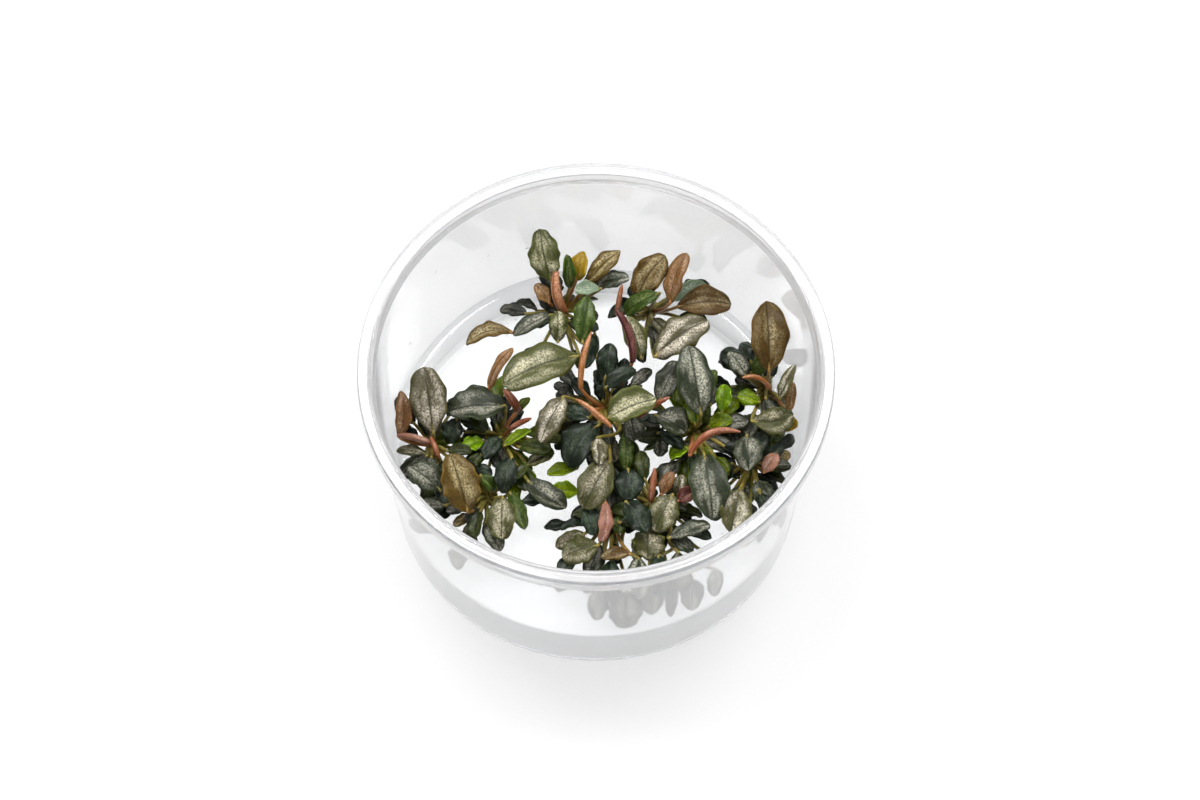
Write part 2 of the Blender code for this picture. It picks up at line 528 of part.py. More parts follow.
def tube_object(name, spine, radii, group, finish=None, smoothness=0):
    """A round tube along a row of points, each with its own radius, as a closed mesh."""
    path = bpy.data.curves.new(name, "CURVE")
    path.dimensions = "3D"
    path.bevel_depth = MM
    path.bevel_resolution = smoothness
    path.use_fill_caps = True
    spline = path.splines.new("POLY")
    spline.points.add(len(spine) - 1)
    for point, spot, radius in zip(spline.points, spine, radii):
        point.co = (*(spot * MM), 1.0)
        point.radius = radius
    guide = add_object(name + " path", path, group)
    depsgraph = bpy.context.evaluated_depsgraph_get()
    mesh = bpy.data.meshes.new_from_object(guide.evaluated_get(depsgraph))
    bpy.data.objects.remove(guide, do_unlink=True)
    bm = bmesh.new()
    bm.from_mesh(mesh)
    bmesh.ops.remove_doubles(bm, verts=bm.verts, dist=0.01 * MM)
    bm.to_mesh(mesh)
    bm.free()
    mesh.name = name
    mesh.shade_smooth()
    return add_object(name, mesh, group, finish)


def leaf_object(name, leaf, group, finish=None):
    if leaf.kind == "blade":
        return blade_object(name, leaf, group, finish)
    shares = [n / leaf.rows for n in range(leaf.rows + 1)]
    spine = [leaf.midrib(u) for u in shares]
    return tube_object(name, spine, [leaf.radius(u) for u in shares], group, finish, smoothness=1)


def make_plantlet(plant, leaves, parts, joined):
    """A plantlet's creeping stem, and the stalks and small leaves to be joined to it."""
    name = "plantlet_" + plant
    pieces = bpy.data.collections.new(name + " pieces")
    joined.children.link(pieces)
    for n, leaf in enumerate(leaf for leaf in leaves if leaf.plant == plant):
        tube_object(f"{name} stalk {n}", leaf.stalk, stalk_radii(), pieces)
        if leaf.fused:
            leaf_object(f"{name} leaf {n}", leaf, pieces)
    for piece in pieces.objects:
        piece.hide_render = True
        piece.display_type = "WIRE"
    finish = material(name + " stalks and young leaves", TONES["stem"], 0.5)
    made = tube_object(name, stem_spine(plant), stem_radii(), parts, finish, smoothness=2)
    return made, pieces


def join(made, pieces):
    union = made.modifiers.new("Joined", "BOOLEAN")
    union.operation = "UNION"
    union.operand_type = "COLLECTION"
    union.collection = pieces
    union.solver = "EXACT"


def main():
    clear_scene()
    parts = collection("bucephalandra cup")
    joined = collection("pieces joined into plantlets")
    make_cup(parts)
    make_gel(parts)
    leaves = arrange()
    count = dict.fromkeys(PLANTS, 0)
    for leaf in leaves:
        if leaf.fused:
            continue
        count[leaf.plant] += 1
        name = f"leaf_{leaf.plant}{count[leaf.plant]}"
        leaf_object(name, leaf, parts, material(name, TONES[leaf.tone], 0.45))
    plantlets = [make_plantlet(plant, leaves, parts, joined) for plant in PLANTS]
    for made, pieces in plantlets:
        join(made, pieces)


main()
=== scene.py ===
"""Looks of the bucephalandra in its culture cup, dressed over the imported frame.

Lengths are millimetres until a mesh is made, which is in metres. The lists of leaves and the rule that
settles them are those of the model, so that each fine leaf lies on the solid that it stands for.
"""

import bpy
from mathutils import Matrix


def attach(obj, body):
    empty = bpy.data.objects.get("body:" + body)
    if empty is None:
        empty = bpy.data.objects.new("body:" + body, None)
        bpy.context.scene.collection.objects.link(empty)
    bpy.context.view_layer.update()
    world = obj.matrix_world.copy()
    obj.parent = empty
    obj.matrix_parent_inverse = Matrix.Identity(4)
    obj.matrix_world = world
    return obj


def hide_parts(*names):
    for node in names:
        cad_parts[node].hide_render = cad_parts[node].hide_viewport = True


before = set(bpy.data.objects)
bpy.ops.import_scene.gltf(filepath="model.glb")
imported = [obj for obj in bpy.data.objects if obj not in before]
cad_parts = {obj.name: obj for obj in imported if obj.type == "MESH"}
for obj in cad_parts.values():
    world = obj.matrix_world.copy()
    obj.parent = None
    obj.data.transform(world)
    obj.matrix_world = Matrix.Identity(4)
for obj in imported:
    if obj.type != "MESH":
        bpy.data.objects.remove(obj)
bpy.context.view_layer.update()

import random
from math import cos, exp, pi, radians, sin, sqrt

import bpy
from mathutils import Vector
from mathutils.bvhtree import BVHTree

MM = 0.001
UP = Vector((0.0, 0.0, 1.0))

# ---- sizes shared with the model, mm ----
RIM_RADIUS = 50.0  # outer radius of the flange
CUP_HEIGHT = 53.4
MOUTH_RADIUS = 46.9  # inner edge of the flange
FLANGE_THICK = 1.1
SKIRT_DEPTH = 3.7  # the flange turns down by this much all round
SKIRT_THICK = 0.8
BEAD_DROP = 3.0  # how far below the top the middle of the ring lies that a lid snaps under
WALL = 0.9
FLOOR = 1.2
FOOT_RADIUS = 43.8  # the flat that the cup stands on
HEEL = 1.4  # radius of the corner between base and wall
RIM_EDGE = 0.5  # rounding of the flange's edges
GEL_LEVEL = 15.1
MENISCUS = 0.9  # how far the gel creeps up the wall
MENISCUS_WIDTH = 2.4
HEADROOM = 2.0  # between the leaves and the cup's top
GAP = 0.3  # air between neighbouring solids
SPARE = 0.15  # kept on top of the gap where a leaf's place is tried
LEAF_THICK = 0.6
LEAST_HALF_WIDTH = 0.35
STALK_RADIUS = 0.5
STEM_RADIUS = 1.5
ARCH = 0.10  # height of a blade's arch over its length
FOLD = 0.30  # slope of each half blade up from the midrib
OUTLINE_SKEW = 1.05  # above 1 the blade is widest nearer its tip
OUTLINE_FULL = 0.55  # below 1 the blade's outline is fuller than a sine arch
LEAF_ROWS = 6
SPRIG_ROWS = 4
STALK_POINTS = 4
TUBE_SIDES = 6  # facets round a stem, a stalk or a rolled leaf
CANOPY = 25.0  # level at which the places of leaves are given
LEAN = 0.523  # the whole tuft leans to the front by this much per millimetre of height
SPREAD = 567.0  # and draws in by one part in this per millimetre
STEM_RADII = [STEM_RADIUS * share for share in (0.75, 1.0, 1.0, 0.7)]
STALK_RADII = [STALK_RADIUS * (1.25 - 0.25 * n / (STALK_POINTS - 1)) for n in range(STALK_POINTS)]

# ---- sizes of the fine surface, mm ----
GROOVE = (1.25, 0.12)  # middle of the groove in the rim's top: out from the mouth, up from the top
GROOVE_RADIUS = 0.42
BEAD_RADIUS = 0.6
BEAD_SINK = 0.15  # the bead's middle lies this far outside the line of the wall's inside
BEAD_START = (-0.05, -1.3)  # where the wall turns into it: out from the wall, up from its middle
BEAD_END = 1.0  # above its middle, where the mouth's straight edge starts
SKIRT_EDGE = 0.2  # rounding of the skirt's foot
CUP_STEPS = 180  # facets round the cup
GEL_BITE = 0.05  # how far the gel's skin runs into the wall and floor that it wets
BLADE_THICK = 0.34  # a fleshy little leaf
BLADE_GRID = (30, 12)  # rows and columns of faces in the skin of a big leaf
SPRIG_GRID = (22, 10)
SMALL_GRID = (16, 8)
MARGIN_WAVE = 0.90  # how far a blade's margin ripples off its face
WAVE_SHIFT = 1.3  # radians that one margin's ripples are ahead by, and the other's behind
SCALLOP = 0.05  # share of its width by which the outline swells and narrows
SCALLOP_PACE = 1.7  # scallops for each ripple
FOOT_TAPER = 0.70  # below 1 the foot of the blade is fuller than a sine arch
THIN_END = 0.05  # half width at the very foot and tip
FULL_RELIEF = 1.5  # half width from which grooves and waves have their full height
FOLD_ROUND = 0.3  # square mm, rounds the fold off at the midrib
FOLD_SINK = 0.55  # takes off again what the rounding adds there
NOD_START = 0.55  # share of the blade after which its tip nods
ROLL_START = -60  # degrees at which the inner margin of a rolled leaf lies
ROLL_TURN = 400  # degrees that its sheet goes round
ROLL_INNER = 0.52  # how tight the sheet starts, as a share of the solid's radius
ROLL_GROWTH = 0.22  # and what it gains by its outer margin
ROLL_POINT = 0.15  # share of a thin roll over which it comes to its point
THIN_ROLL = 3  # only a roll that is narrower than this does so
MIDRIB_GROOVE = 0.22  # depth of the crease along the midrib
MIDRIB_WIDTH = 0.45
QUILT = 0.04  # swelling between the side veins
VEINS = 7.0  # side veins along a blade
VEIN_SLANT = 2.4  # how many veins a side vein runs forward by on its way to the margin
FINE_STALK = 0.40  # radius of a stalk
STALK_SIDES = 10
GOLDEN_ANGLE = 137.5  # turn from one small leaf to the next, in degrees
UNDER_TRIES = 500
UNDER_LEVELS = (17.8, 25.5)  # lowest and highest foot of a small leaf
UNDER_SHADE = 0.8  # how much darker the small leaves are drawn, in the shade of the big ones
DEW_LEVELS = (GEL_LEVEL + 2, CUP_HEIGHT - 7)  # the part of the wall that has drops
DEW_INSET = 0.05  # how far off the wall their middles lie
DROP_RADIUS = 0.45  # the largest
LEAST_DROP = 0.35  # the smallest, as a share of the largest
DROP_FLATNESS = 0.45  # height of a drop over its width
DROPS_PER_SQUARE_METRE = 2600.0
BUBBLE_RADIUS = 0.26  # the largest
LEAST_BUBBLE = 0.3  # the smallest, as a share of the largest
BUBBLES = 70
BUBBLE_PATCH = (128, 16)  # the way to the middle of their patch and its spread, in degrees
BUBBLES_OUT = (33.0, 42.5)  # nearest and farthest from the cup's middle
BUBBLES_DOWN = (0.35, 1.4)  # least and most below the gel's top
# How many small leaves fill the bottom of each plantlet
UNDER_LEAVES = dict(zip("abcdefghijk", (16, 26, 20, 14, 9, 40, 38, 16, 26, 22, 14)))

# Plantlet: middle of its creeping stem, and the way that the stem runs in degrees
PLANTS = {
    "a": ((-35.5, -6), 100),
    "b": ((-22, -3.5), 40),
    "c": ((-24.5, -18.5), 20),
    "d": ((-8, 27), 75),
    "e": ((11, 28.5), 10),
    "f": ((1.5, 3), 60),
    "g": ((21.5, -2.5), 100),
    "h": ((37, 8.5), 80),
    "i": ((33.5, -10.5), 70),
    "j": ((11.5, -19.5), 0),
    "k": ((2.5, -23.5), 30),
}

# Big leaves, from the top of the tuft down: plantlet, foot, tip, width, tone. Where they differ from an
# open, flat and straight blade, then "blade" or "roll", a young leaf that has not opened, the turn
# about its axis in degrees and its sideways bow.
LEAVES = [
    ("a", (-35.4, -1.8, 26), (-37.9, 14.5, 34), 8, "silver"),
    ("c", (-27.5, -20.5, 27), (-31.5, -6.5, 35), 8, "bronze"),
    ("d", (-3.8, 17.6, 32), (-20.4, 10.8, 34), 9.5, "olive"),
    ("f", (-7, 7.4, 32), (-12.2, -3.2, 31), 5.5, "silver"),
    ("f", (2.5, 2, 33), (13, 7, 36), 7.5, "olive"),
    ("f", (-3.4, 9.4, 31), (-1, 23.2, 37), 1.6, "coral", "roll", 0, -0.6),
    ("f", (8.1, 15.9, 30), (4.3, 29, 38), 2.6, "maroon", "roll", 0, 1),
    ("g", (22.9, 2.8, 30), (20.5, 19.7, 38), 8, "slate"),
    ("h", (38.1, 13.5, 29), (38, 30.5, 38), 8.3, "bronze"),
    ("e", (12.8, 17.2, 31), (24.4, 26.5, 36), 8, "silver"),
    ("d", (-10, 36.4, 30), (-12.6, 49, 38), 7, "olive", "blade", 0, -0.6),
    ("e", (16.4, 30.6, 30), (20, 42.8, 38), 4.8, "rust", "blade", 20),
    ("e", (9.2, 31.4, 29), (15.4, 42.4, 35), 7, "bronze", "blade", 0, -0.6),
    ("e", (18, 29.8, 28), (30, 31, 29), 6.8, "bronze"),
    ("g", (23.4, -6.5, 30), (25.1, -21.9, 27), 8.5, "slate"),
    ("f", (3, -8, 29), (-2.7, -19.7, 26), 7.5, "olive"),
    ("c", (-20.2, -16.9, 27), (-20.2, -26.9, 26), 6.2, "olive"),
    ("b", (-19.8, 5, 27), (-32.1, 4.3, 28), 8.6, "slate"),
    ("i", (32.8, -2.1, 29), (33, -10.6, 28), 6.3, "slate"),
    ("h", (34, 1.5, 28), (43.1, 3, 27), 6, "olive", "blade", -20, 1),
    ("f", (0.6, 0.5, 29), (-6, -9.5, 26), 7.4, "teal", "blade", 0, 0.8),
    ("g", (13.6, 5.8, 29), (18, 16, 32), 5.5, "slate"),
    ("g", (12.8, 2.9, 29), (19.7, -1.2, 27), 6.5, "slate"),
    ("k", (0.4, -28.4, 25), (-7.2, -31.2, 24), 6.4, "olive"),
    ("j", (16.5, -16.3, 28), (12.5, -25, 26), 6.5, "olive"),
    ("j", (7, -10.3, 27), (7, -17.7, 26), 6.5, "teal"),
    ("k", (11, -24.8, 25), (11, -32, 23), 7, "olive"),
    ("k", (2, -18, 27), (1.5, -27.3, 26), 3.2, "blush", "blade", 30),
    ("g", (20.3, -6.8, 30), (31.4, -1.2, 33), 1.9, "coral", "roll", 0, -2.2),
    ("e", (10, 16.9, 30), (7, 27.2, 34), 4.8, "olive"),
    ("d", (-3.1, 20.6, 29), (-2.2, 32.2, 34), 4.8, "moss"),
    ("d", (-1.9, 35.9, 29), (5, 43.9, 34), 4.8, "bronze"),
    ("d", (-18.4, 23.4, 26), (-28.7, 20.2, 25), 4, "bronze", "blade", 0, 1.4),
    ("d", (-10, 27.8, 29), (-18.3, 22.7, 28), 4, "slate"),
    ("a", (-43, -2.5, 25), (-42.8, 8.5, 31), 3.5, "rust", "blade", 0, 1),
    ("a", (-33.5, -15.5, 24), (-40.3, -9.5, 27), 6, "slate"),
    ("b", (-23.6, 9.4, 26), (-19.2, 19.3, 33), 3, "rust", "blade", 20),
    ("b", (-18.3, -7.3, 26), (-20.3, -15.8, 25), 4.8, "teal"),
    ("b", (-14.8, -13, 25), (-6.4, -19.6, 23), 5.4, "slate", "blade", 0, 1),
    ("d", (-0.5, 35, 30), (7.2, 37.3, 31), 4, "slate"),
    ("i", (31, -15, 26), (28.8, -25.3, 24), 6.6, "silver"),
    ("h", (33, 12.4, 28), (29.6, 18.4, 31), 4.5, "slate"),
    ("j", (6.5, -18, 25), (11, -25, 24), 5.5, "teal"),
    ("j", (15.4, -26.7, 25), (24.3, -23.3, 26), 3.4, "slate"),
    ("i", (34.5, -13, 25), (36.8, -19, 22), 5, "slate"),
    ("b", (-30.2, 2, 25), (-32.2, -3.9, 23), 4.5, "teal"),
    ("k", (-2, -18.7, 24), (-0.3, -26.3, 23), 4, "teal"),
]

# Small leaves that stay fused with their plantlet, in the same terms
SPRIGS = [
    ("a", (-36, -4, 24), (-43.3, -2, 27), 2, "blush", "roll"),
    ("a", (-36.8, -6.8, 23), (-43.3, -5.7, 23), 2.6, "olive"),
    ("a", (-34.2, -7.4, 24), (-36, -2.5, 26), 1.6, "coral", "roll"),
    ("a", (-36.5, -13, 22), (-40.5, -12.5, 22), 3, "slate"),
    ("b", (-24.5, -3.5, 23), (-29.2, -6, 24), 3.6, "lime"),
    ("b", (-28.2, -4, 21), (-31.5, -7.5, 21), 3, "lime"),
    ("b", (-20.8, -2.6, 25), (-24.4, -7.4, 26), 3.6, "teal"),
    ("b", (-17, 4, 24), (-20.3, 9.2, 29), 2.8, "coral", "roll"),
    ("b", (-19, -1, 22), (-14.2, 2, 26), 1.5, "coral", "roll"),
    ("b", (-20, -4.7, 22), (-14.2, -0.6, 24), 2.2, "lime"),
    ("b", (-16.8, -5, 24), (-10, -5.2, 26), 4, "moss"),
    ("b", (-15, -9.5, 22), (-9.4, -6.5, 23), 3, "olive"),
    ("c", (-26.6, -10.5, 23), (-22.6, -11.5, 24), 3, "teal"),
    ("c", (-24.9, -11.9, 23), (-21.6, -15.2, 24), 3, "moss"),
    ("c", (-24, -23.5, 23), (-20.3, -29.7, 22), 4, "slate"),
    ("c", (-18.6, -16, 24), (-15.2, -24.7, 24), 3.5, "moss"),
    ("c", (-30, -16, 22), (-35, -18.5, 21), 4, "slate"),
    ("c", (-26.5, -21.5, 21), (-30.5, -24, 21), 2.4, "bronze"),
    ("d", (-7, 28.5, 27), (-9, 38.4, 33), 3.2, "coral", "roll", 0, -1),
    ("d", (-4.5, 36.5, 28), (-3, 43.4, 33), 4.2, "apricot"),
    ("d", (-6, 34.5, 28), (-6.6, 42.6, 32), 2.8, "moss"),
    ("d", (-10.5, 31, 26), (-13.6, 35.6, 28), 3, "rust"),
    ("d", (0.9, 34.2, 31), (-4.8, 33.9, 31), 3.2, "mint"),
    ("d", (-8.5, 21, 26), (-8.5, 28.4, 29), 4, "olive"),
    ("e", (4.6, 28, 26), (5.8, 35.3, 32), 1.3, "coral", "roll"),
    ("e", (14.1, 33.1, 27), (6.4, 28.1, 27), 4, "moss"),
    ("e", (17, 31.5, 25), (24.5, 36, 27), 3.4, "mint"),
    ("e", (13, 24, 24), (18.5, 22, 25), 3, "moss"),
    ("f", (-1.5, 2.2, 28), (-7, 3.8, 27), 4, "teal"),
    ("f", (-0.3, 23, 27), (-2.3, 14.8, 27), 3.5, "teal"),
    ("f", (2, 9.5, 27), (8.5, 14.3, 29), 4, "teal"),
    ("f", (2, 12, 25), (3, 20.5, 29), 4.5, "teal"),
    ("f", (3.1, 0.3, 29), (-4.4, 6.7, 34), 1.4, "coral", "roll"),
    ("f", (9.4, 2.5, 29), (16.1, 7.2, 34), 1.4, "coral", "roll"),
    ("f", (7.5, 2.7, 27), (8.5, -3.4, 27), 5, "slate"),
    ("f", (6.5, -1, 25), (6.5, -10.4, 23), 3.3, "moss"),
    ("f", (-4, -10, 22), (-10.6, -11.6, 22), 3.2, "lime"),
    ("f", (0.5, -2.5, 27), (0.7, -8.7, 26), 3.6, "silver"),
    ("g", (13.5, -1.5, 25), (19, -4.8, 25), 3, "teal"),
    ("g", (14.5, -2.5, 23), (13.6, -7.4, 22), 3.2, "slate"),
    ("g", (20, -5.5, 24), (15.8, -7.4, 24), 3, "lime"),
    ("g", (27.5, 3.5, 25), (28.2, 10.4, 27), 3.4, "lime"),
    ("g", (24.5, 0, 24), (29.5, 2, 25), 3.4, "lime"),
    ("g", (24, 7.5, 24), (26, 14, 27), 3, "moss"),
    ("h", (35.8, 6, 24), (31.2, 8, 25), 3.6, "lime"),
    ("h", (38.3, 9.3, 25), (32.2, 12, 28), 1.4, "coral", "roll", 0, 1),
    ("h", (40.2, 6.8, 27), (43.6, 15, 30), 2.6, "silver"),
    ("h", (42, 3, 24), (43.2, 11, 28), 2.2, "rust"),
    ("h", (40, -1.5, 24), (43.4, 2, 24), 4, "apricot"),
    ("h", (35.5, 12, 25), (36, 17.5, 28), 3, "moss"),
    ("i", (38, -4.5, 25), (40, 1.2, 25), 3.6, "moss"),
    ("i", (34.2, 3, 25), (33.4, -2.6, 24), 4, "slate"),
    ("i", (36.2, -11.1, 25), (39.4, -6.7, 27), 3.2, "blush"),
    ("i", (38, -10.6, 22), (41.8, -6, 23), 3, "bronze"),
    ("i", (29.5, -9, 24), (27, -13, 22), 3.4, "teal"),
    ("i", (31.5, -13.5, 23), (32.5, -19.5, 21), 4.2, "slate"),
    ("j", (11.8, -18, 25), (12.7, -10, 30), 1.8, "coral", "roll"),
    ("j", (14, -16.5, 25), (16.5, -11, 28), 3, "rust"),
    ("j", (17.5, -16.5, 25), (18.6, -11.7, 27), 3.2, "silver"),
    ("j", (17.5, -18, 24), (21.5, -15.2, 25), 3.4, "maroon"),
    ("j", (15.9, -26.9, 23), (20.8, -29.8, 22), 3.4, "slate"),
    ("k", (6, -35.5, 22), (5.9, -47.6, 19), 7, "slate"),
    ("k", (0.4, -34.5, 22), (0.2, -45, 20), 4.2, "slate"),
    ("j", (11.2, -34.5, 22), (11.5, -43.6, 20), 5, "slate"),
    ("j", (15.4, -35, 22), (15.5, -44.8, 20), 2.6, "slate"),
    ("j", (19.2, -33.5, 22), (19.8, -43.4, 20), 5, "slate"),
    ("j", (23.6, -31, 22), (24.8, -41, 20), 4, "slate"),
    ("k", (3.2, -32, 24), (3, -39.5, 22), 4, "teal"),
    ("j", (9, -31.5, 24), (8.8, -39, 22), 4, "slate"),
    ("j", (13.4, -31, 24), (13.4, -38.5, 22), 4, "teal"),
    ("j", (17.4, -30, 24), (17.6, -37.5, 22), 4, "slate"),
    ("k", (4.8, -21.7, 23), (4.8, -25.6, 23), 3.2, "moss"),
    ("k", (7.3, -30.5, 22), (1.2, -31, 22), 3, "bronze"),
    ("k", (-3.7, -16, 22), (-10.2, -16, 22), 4, "lime"),
]


# ---- where each leaf goes: the model's own rule ----

def inner_radius(z):
    """Radius of the cup's inside at height z: the wall flares evenly from heel to mouth."""
    base = FOOT_RADIUS + HEEL - WALL
    return base + (MOUTH_RADIUS - base) * z / CUP_HEIGHT


def place(spot, lift=0.0):
    """The place of a point that is given at canopy level, with its own height: the tuft leans."""
    x, y, z = spot
    z += lift
    rise = z - CANOPY
    return Vector((x * (1 - rise / SPREAD), y - LEAN * rise, z))


class Leaf:
    """One leaf in its settled place: its foot, tip, frame and shape."""

    def __init__(self, row, fused, foot_rise=0.0, tip_rise=0.0, shrink=1.0):
        self.plant, foot, tip, width, self.tone, *more = row
        self.kind, roll, self.bow = more + ["blade", 0, 0][len(more):]
        self.foot = place(foot, foot_rise)
        self.tip = self.foot.lerp(place(tip, tip_rise), shrink)
        self.width = width * shrink
        self.fused = fused
        self.rows = SPRIG_ROWS if fused else LEAF_ROWS
        along = self.tip - self.foot
        self.length = along.length
        axis = along.normalized()
        flat = axis.cross(UP).normalized()
        rise = flat.cross(axis)
        turn = radians(roll)
        self.side = flat * cos(turn) + rise * sin(turn)
        self.face = self.side.cross(axis)

    def midrib(self, u):
        bend = 4 * u * (1 - u)
        spine = self.foot.lerp(self.tip, u) + self.face * (ARCH * self.length * bend)
        return spine + self.side * (self.bow * bend)

    def half_width(self, u):
        full = sin(pi * u ** OUTLINE_SKEW) ** OUTLINE_FULL if 0 < u < 1 else 0.0
        return max(0.5 * self.width * full, LEAST_HALF_WIDTH)

    def point(self, u, v, lift=0.0, grow=0.0):
        """A point of the blade: u from foot to tip, v from margin to margin, lift off its face."""
        reach = v * (self.half_width(u) + grow)
        fold = FOLD if self.kind == "blade" else 0.0
        return self.midrib(u) + self.side * reach + self.face * (fold * abs(reach) + lift)

    def radius(self, u):
        """Radius of a rolled leaf: a slender spindle."""
        return 0.5 * self.width * (0.45 + 0.55 * sin(pi * min(0.15 + 0.8 * u, 1.0)))

    def solid(self, grow=0.0):
        """Corners and faces of the leaf's closed form, all round bigger by grow."""
        shares = [n / self.rows for n in range(self.rows + 1)]
        if self.kind == "roll":
            return tube_form([self.midrib(u) for u in shares], [self.radius(u) + grow for u in shares])
        corners = []
        for lift in (-LEAF_THICK / 2 - grow, LEAF_THICK / 2 + grow):
            corners += [self.point(u, v, lift, grow) for u in shares for v in (-1, 0, 1)]
        return corners, sheet_faces(len(shares), 3)


def sheet_faces(rows, columns):
    """Faces of a closed sheet whose lower layer of corners comes first, then its upper layer."""
    layer = rows * columns
    faces = []
    for row in range(rows - 1):
        for column in range(columns - 1):
            a = row * columns + column
            faces.append((a, a + columns, a + columns + 1, a + 1))
            faces.append((layer + a, layer + a + 1, layer + a + columns + 1, layer + a + columns))
    border = list(range(columns))
    border += [row * columns + columns - 1 for row in range(1, rows)]
    border += [(rows - 1) * columns + column for column in range(columns - 2, -1, -1)]
    border += [row * columns for row in range(rows - 2, 0, -1)]
    for n, a in enumerate(border):
        b = border[(n + 1) % len(border)]
        faces.append((a, b, layer + b, layer + a))
    return faces


def tube_form(spine, radii, sides=TUBE_SIDES):
    """Corners and faces of a closed tube along a row of points."""
    corners = []
    for n, middle in enumerate(spine):
        ahead = spine[min(n + 1, len(spine) - 1)] - spine[max(n - 1, 0)]
        across = ahead.cross(UP if abs(ahead.normalized().z) < 0.95 else Vector((1, 0, 0))).normalized()
        over = across.cross(ahead).normalized()
        for side in range(sides):
            angle = 2 * pi * side / sides
            corners.append(middle + (across * cos(angle) + over * sin(angle)) * radii[n])
    faces = [tuple(range(sides)), tuple(range(len(corners) - 1, len(corners) - sides - 1, -1))]
    for ring in range(len(spine) - 1):
        for side in range(sides):
            a = ring * sides + side
            b = ring * sides + (side + 1) % sides
            faces.append((a, a + sides, b + sides, b))
    return corners, faces


def touchable(form):
    """A form made ready for the test whether another one runs into it."""
    return BVHTree.FromPolygons([tuple(corner) for corner in form[0]], form[1])


def hits(form, taken):
    probe = touchable(form)
    return any(probe.overlap(other) for other in taken)


def in_cup(corners):
    """Whether every corner is inside the cup and above the gel, with the gap to spare."""
    low, high = GEL_LEVEL + 2 * GAP, CUP_HEIGHT - HEADROOM
    return all(low <= c.z <= high and c.xy.length <= inner_radius(c.z) - 2 * GAP for c in corners)


def free_places(row, fused, taken):
    """The leaf in each place that is free, the nearest first: higher or lower in the tuft, or smaller."""
    rises = [(foot, tip) for foot in range(-6, 9) for tip in range(-6, 9)]
    rises.sort(key=lambda p: (abs(p[0]) + abs(p[1]) + 0.4 * abs(p[0] - p[1]), p))
    for shrink in (1.0, 0.88, 0.76):
        for foot_rise, tip_rise in rises:
            leaf = Leaf(row, fused, foot_rise, tip_rise, shrink)
            grown = leaf.solid(GAP + SPARE)
            if in_cup(grown[0]) and not hits(grown, taken):
                yield leaf


def level_way(heading):
    """The way that runs level at a heading in degrees."""
    turn = radians(heading)
    return Vector((cos(turn), sin(turn), 0.0))


def stem_spine(plant):
    """The creeping stem's middle line: a short rod that lies on the gel and turns up at its end."""
    middle, heading = PLANTS[plant]
    start = place((*middle, GEL_LEVEL + GAP + STEM_RADIUS))
    run = level_way(heading)
    return [start - run * 4, start - run * 1.5, start + run * 1.0 + UP * 0.6, start + run * 2.6 + UP * 2.6]


def stalk_routes(leaf):
    """Ways for a leaf's stalk from the creeping stem to the leaf's foot, the straightest first."""
    spine = stem_spine(leaf.plant)
    sink = 0.9 if leaf.fused else -GAP - SPARE
    end = leaf.midrib(0) + (leaf.midrib(0.08) - leaf.midrib(0)).normalized() * sink
    offsets = [(side, rise) for side in range(-8, 9, 2) for rise in range(-6, 9, 2)]
    offsets.sort(key=lambda o: (abs(o[0]) + abs(o[1]), o))
    shares = [n / (STALK_POINTS - 1) for n in range(STALK_POINTS)]
    for share in (0.55, 0.8, 0.3):
        for start in (spine[2], spine[1], spine[3]):
            across = (end - start).cross(UP).normalized()
            for side, rise in offsets:
                bend = start.lerp(end, share) + across * side + UP * (rise - 1.5)
                yield [start * (1 - t) ** 2 + bend * (2 * t * (1 - t)) + end * t ** 2 for t in shares]


def find_stalk(leaf, taken):
    """The first route, but for its start in the stem, that is clear of leaves and other plantlets."""
    radii = [radius + GAP + 0.1 for radius in STALK_RADII]
    for route in stalk_routes(leaf):
        grown = tube_form(route, radii)
        if in_cup(grown[0][TUBE_SIDES:]) and not hits(grown, taken):
            return route
    return None


def arrange():
    """Settles every leaf with its stalk, from the top of the tuft down, and returns the leaves."""
    stems = {plant: touchable(tube_form(stem_spine(plant), STEM_RADII)) for plant in PLANTS}
    stalks = {plant: [] for plant in PLANTS}
    leaves = []
    for row, fused in [(row, False) for row in LEAVES] + [(row, True) for row in SPRIGS]:
        blades = [leaf.form for leaf in leaves]
        foreign = [form for plant in PLANTS if plant != row[0] for form in [stems[plant]] + stalks[plant]]
        for leaf in free_places(row, fused, blades + foreign + [stems[row[0]]] + stalks[row[0]]):
            leaf.stalk = find_stalk(leaf, blades + foreign)
            if leaf.stalk:
                break
        else:
            raise RuntimeError(f"no room for the leaf {row}")
        leaf.form = touchable(leaf.solid())
        stalks[leaf.plant].append(touchable(tube_form(leaf.stalk, STALK_RADII)))
        leaves.append(leaf)
    return leaves


# ---- nodes and materials ----

MATH, RAMP, NOISE = "ShaderNodeMath", "ShaderNodeMapRange", "ShaderNodeTexNoise"


def wire(tree, made, inputs):
    """Gives a node its inputs, by socket or from the first one on: a value or another node's output."""
    for key, value in inputs.items() if isinstance(inputs, dict) else enumerate(inputs):
        if isinstance(value, bpy.types.NodeSocket):
            tree.links.new(value, made.inputs[key])
        else:
            made.inputs[key].default_value = value


def node(tree, kind, inputs=(), out=0, **settings):
    """Adds a node with its settings and inputs, and returns the output that out says."""
    made = tree.nodes.new(kind)
    for name, value in settings.items():
        setattr(made, name, value)
    wire(tree, made, inputs)
    return made.outputs[out] if made.outputs else None


def linear(text):
    """A linear colour from an sRGB hex value."""
    channels = [int(text[n:n + 2], 16) / 255 for n in (1, 3, 5)]
    return [c / 12.92 if c <= 0.04045 else ((c + 0.055) / 1.055) ** 2.4 for c in channels] + [1.0]


def per_metre(size_mm):
    """Texture scale for a feature of this size, on Object coordinates in metres."""
    return 1.0 / (size_mm * MM)


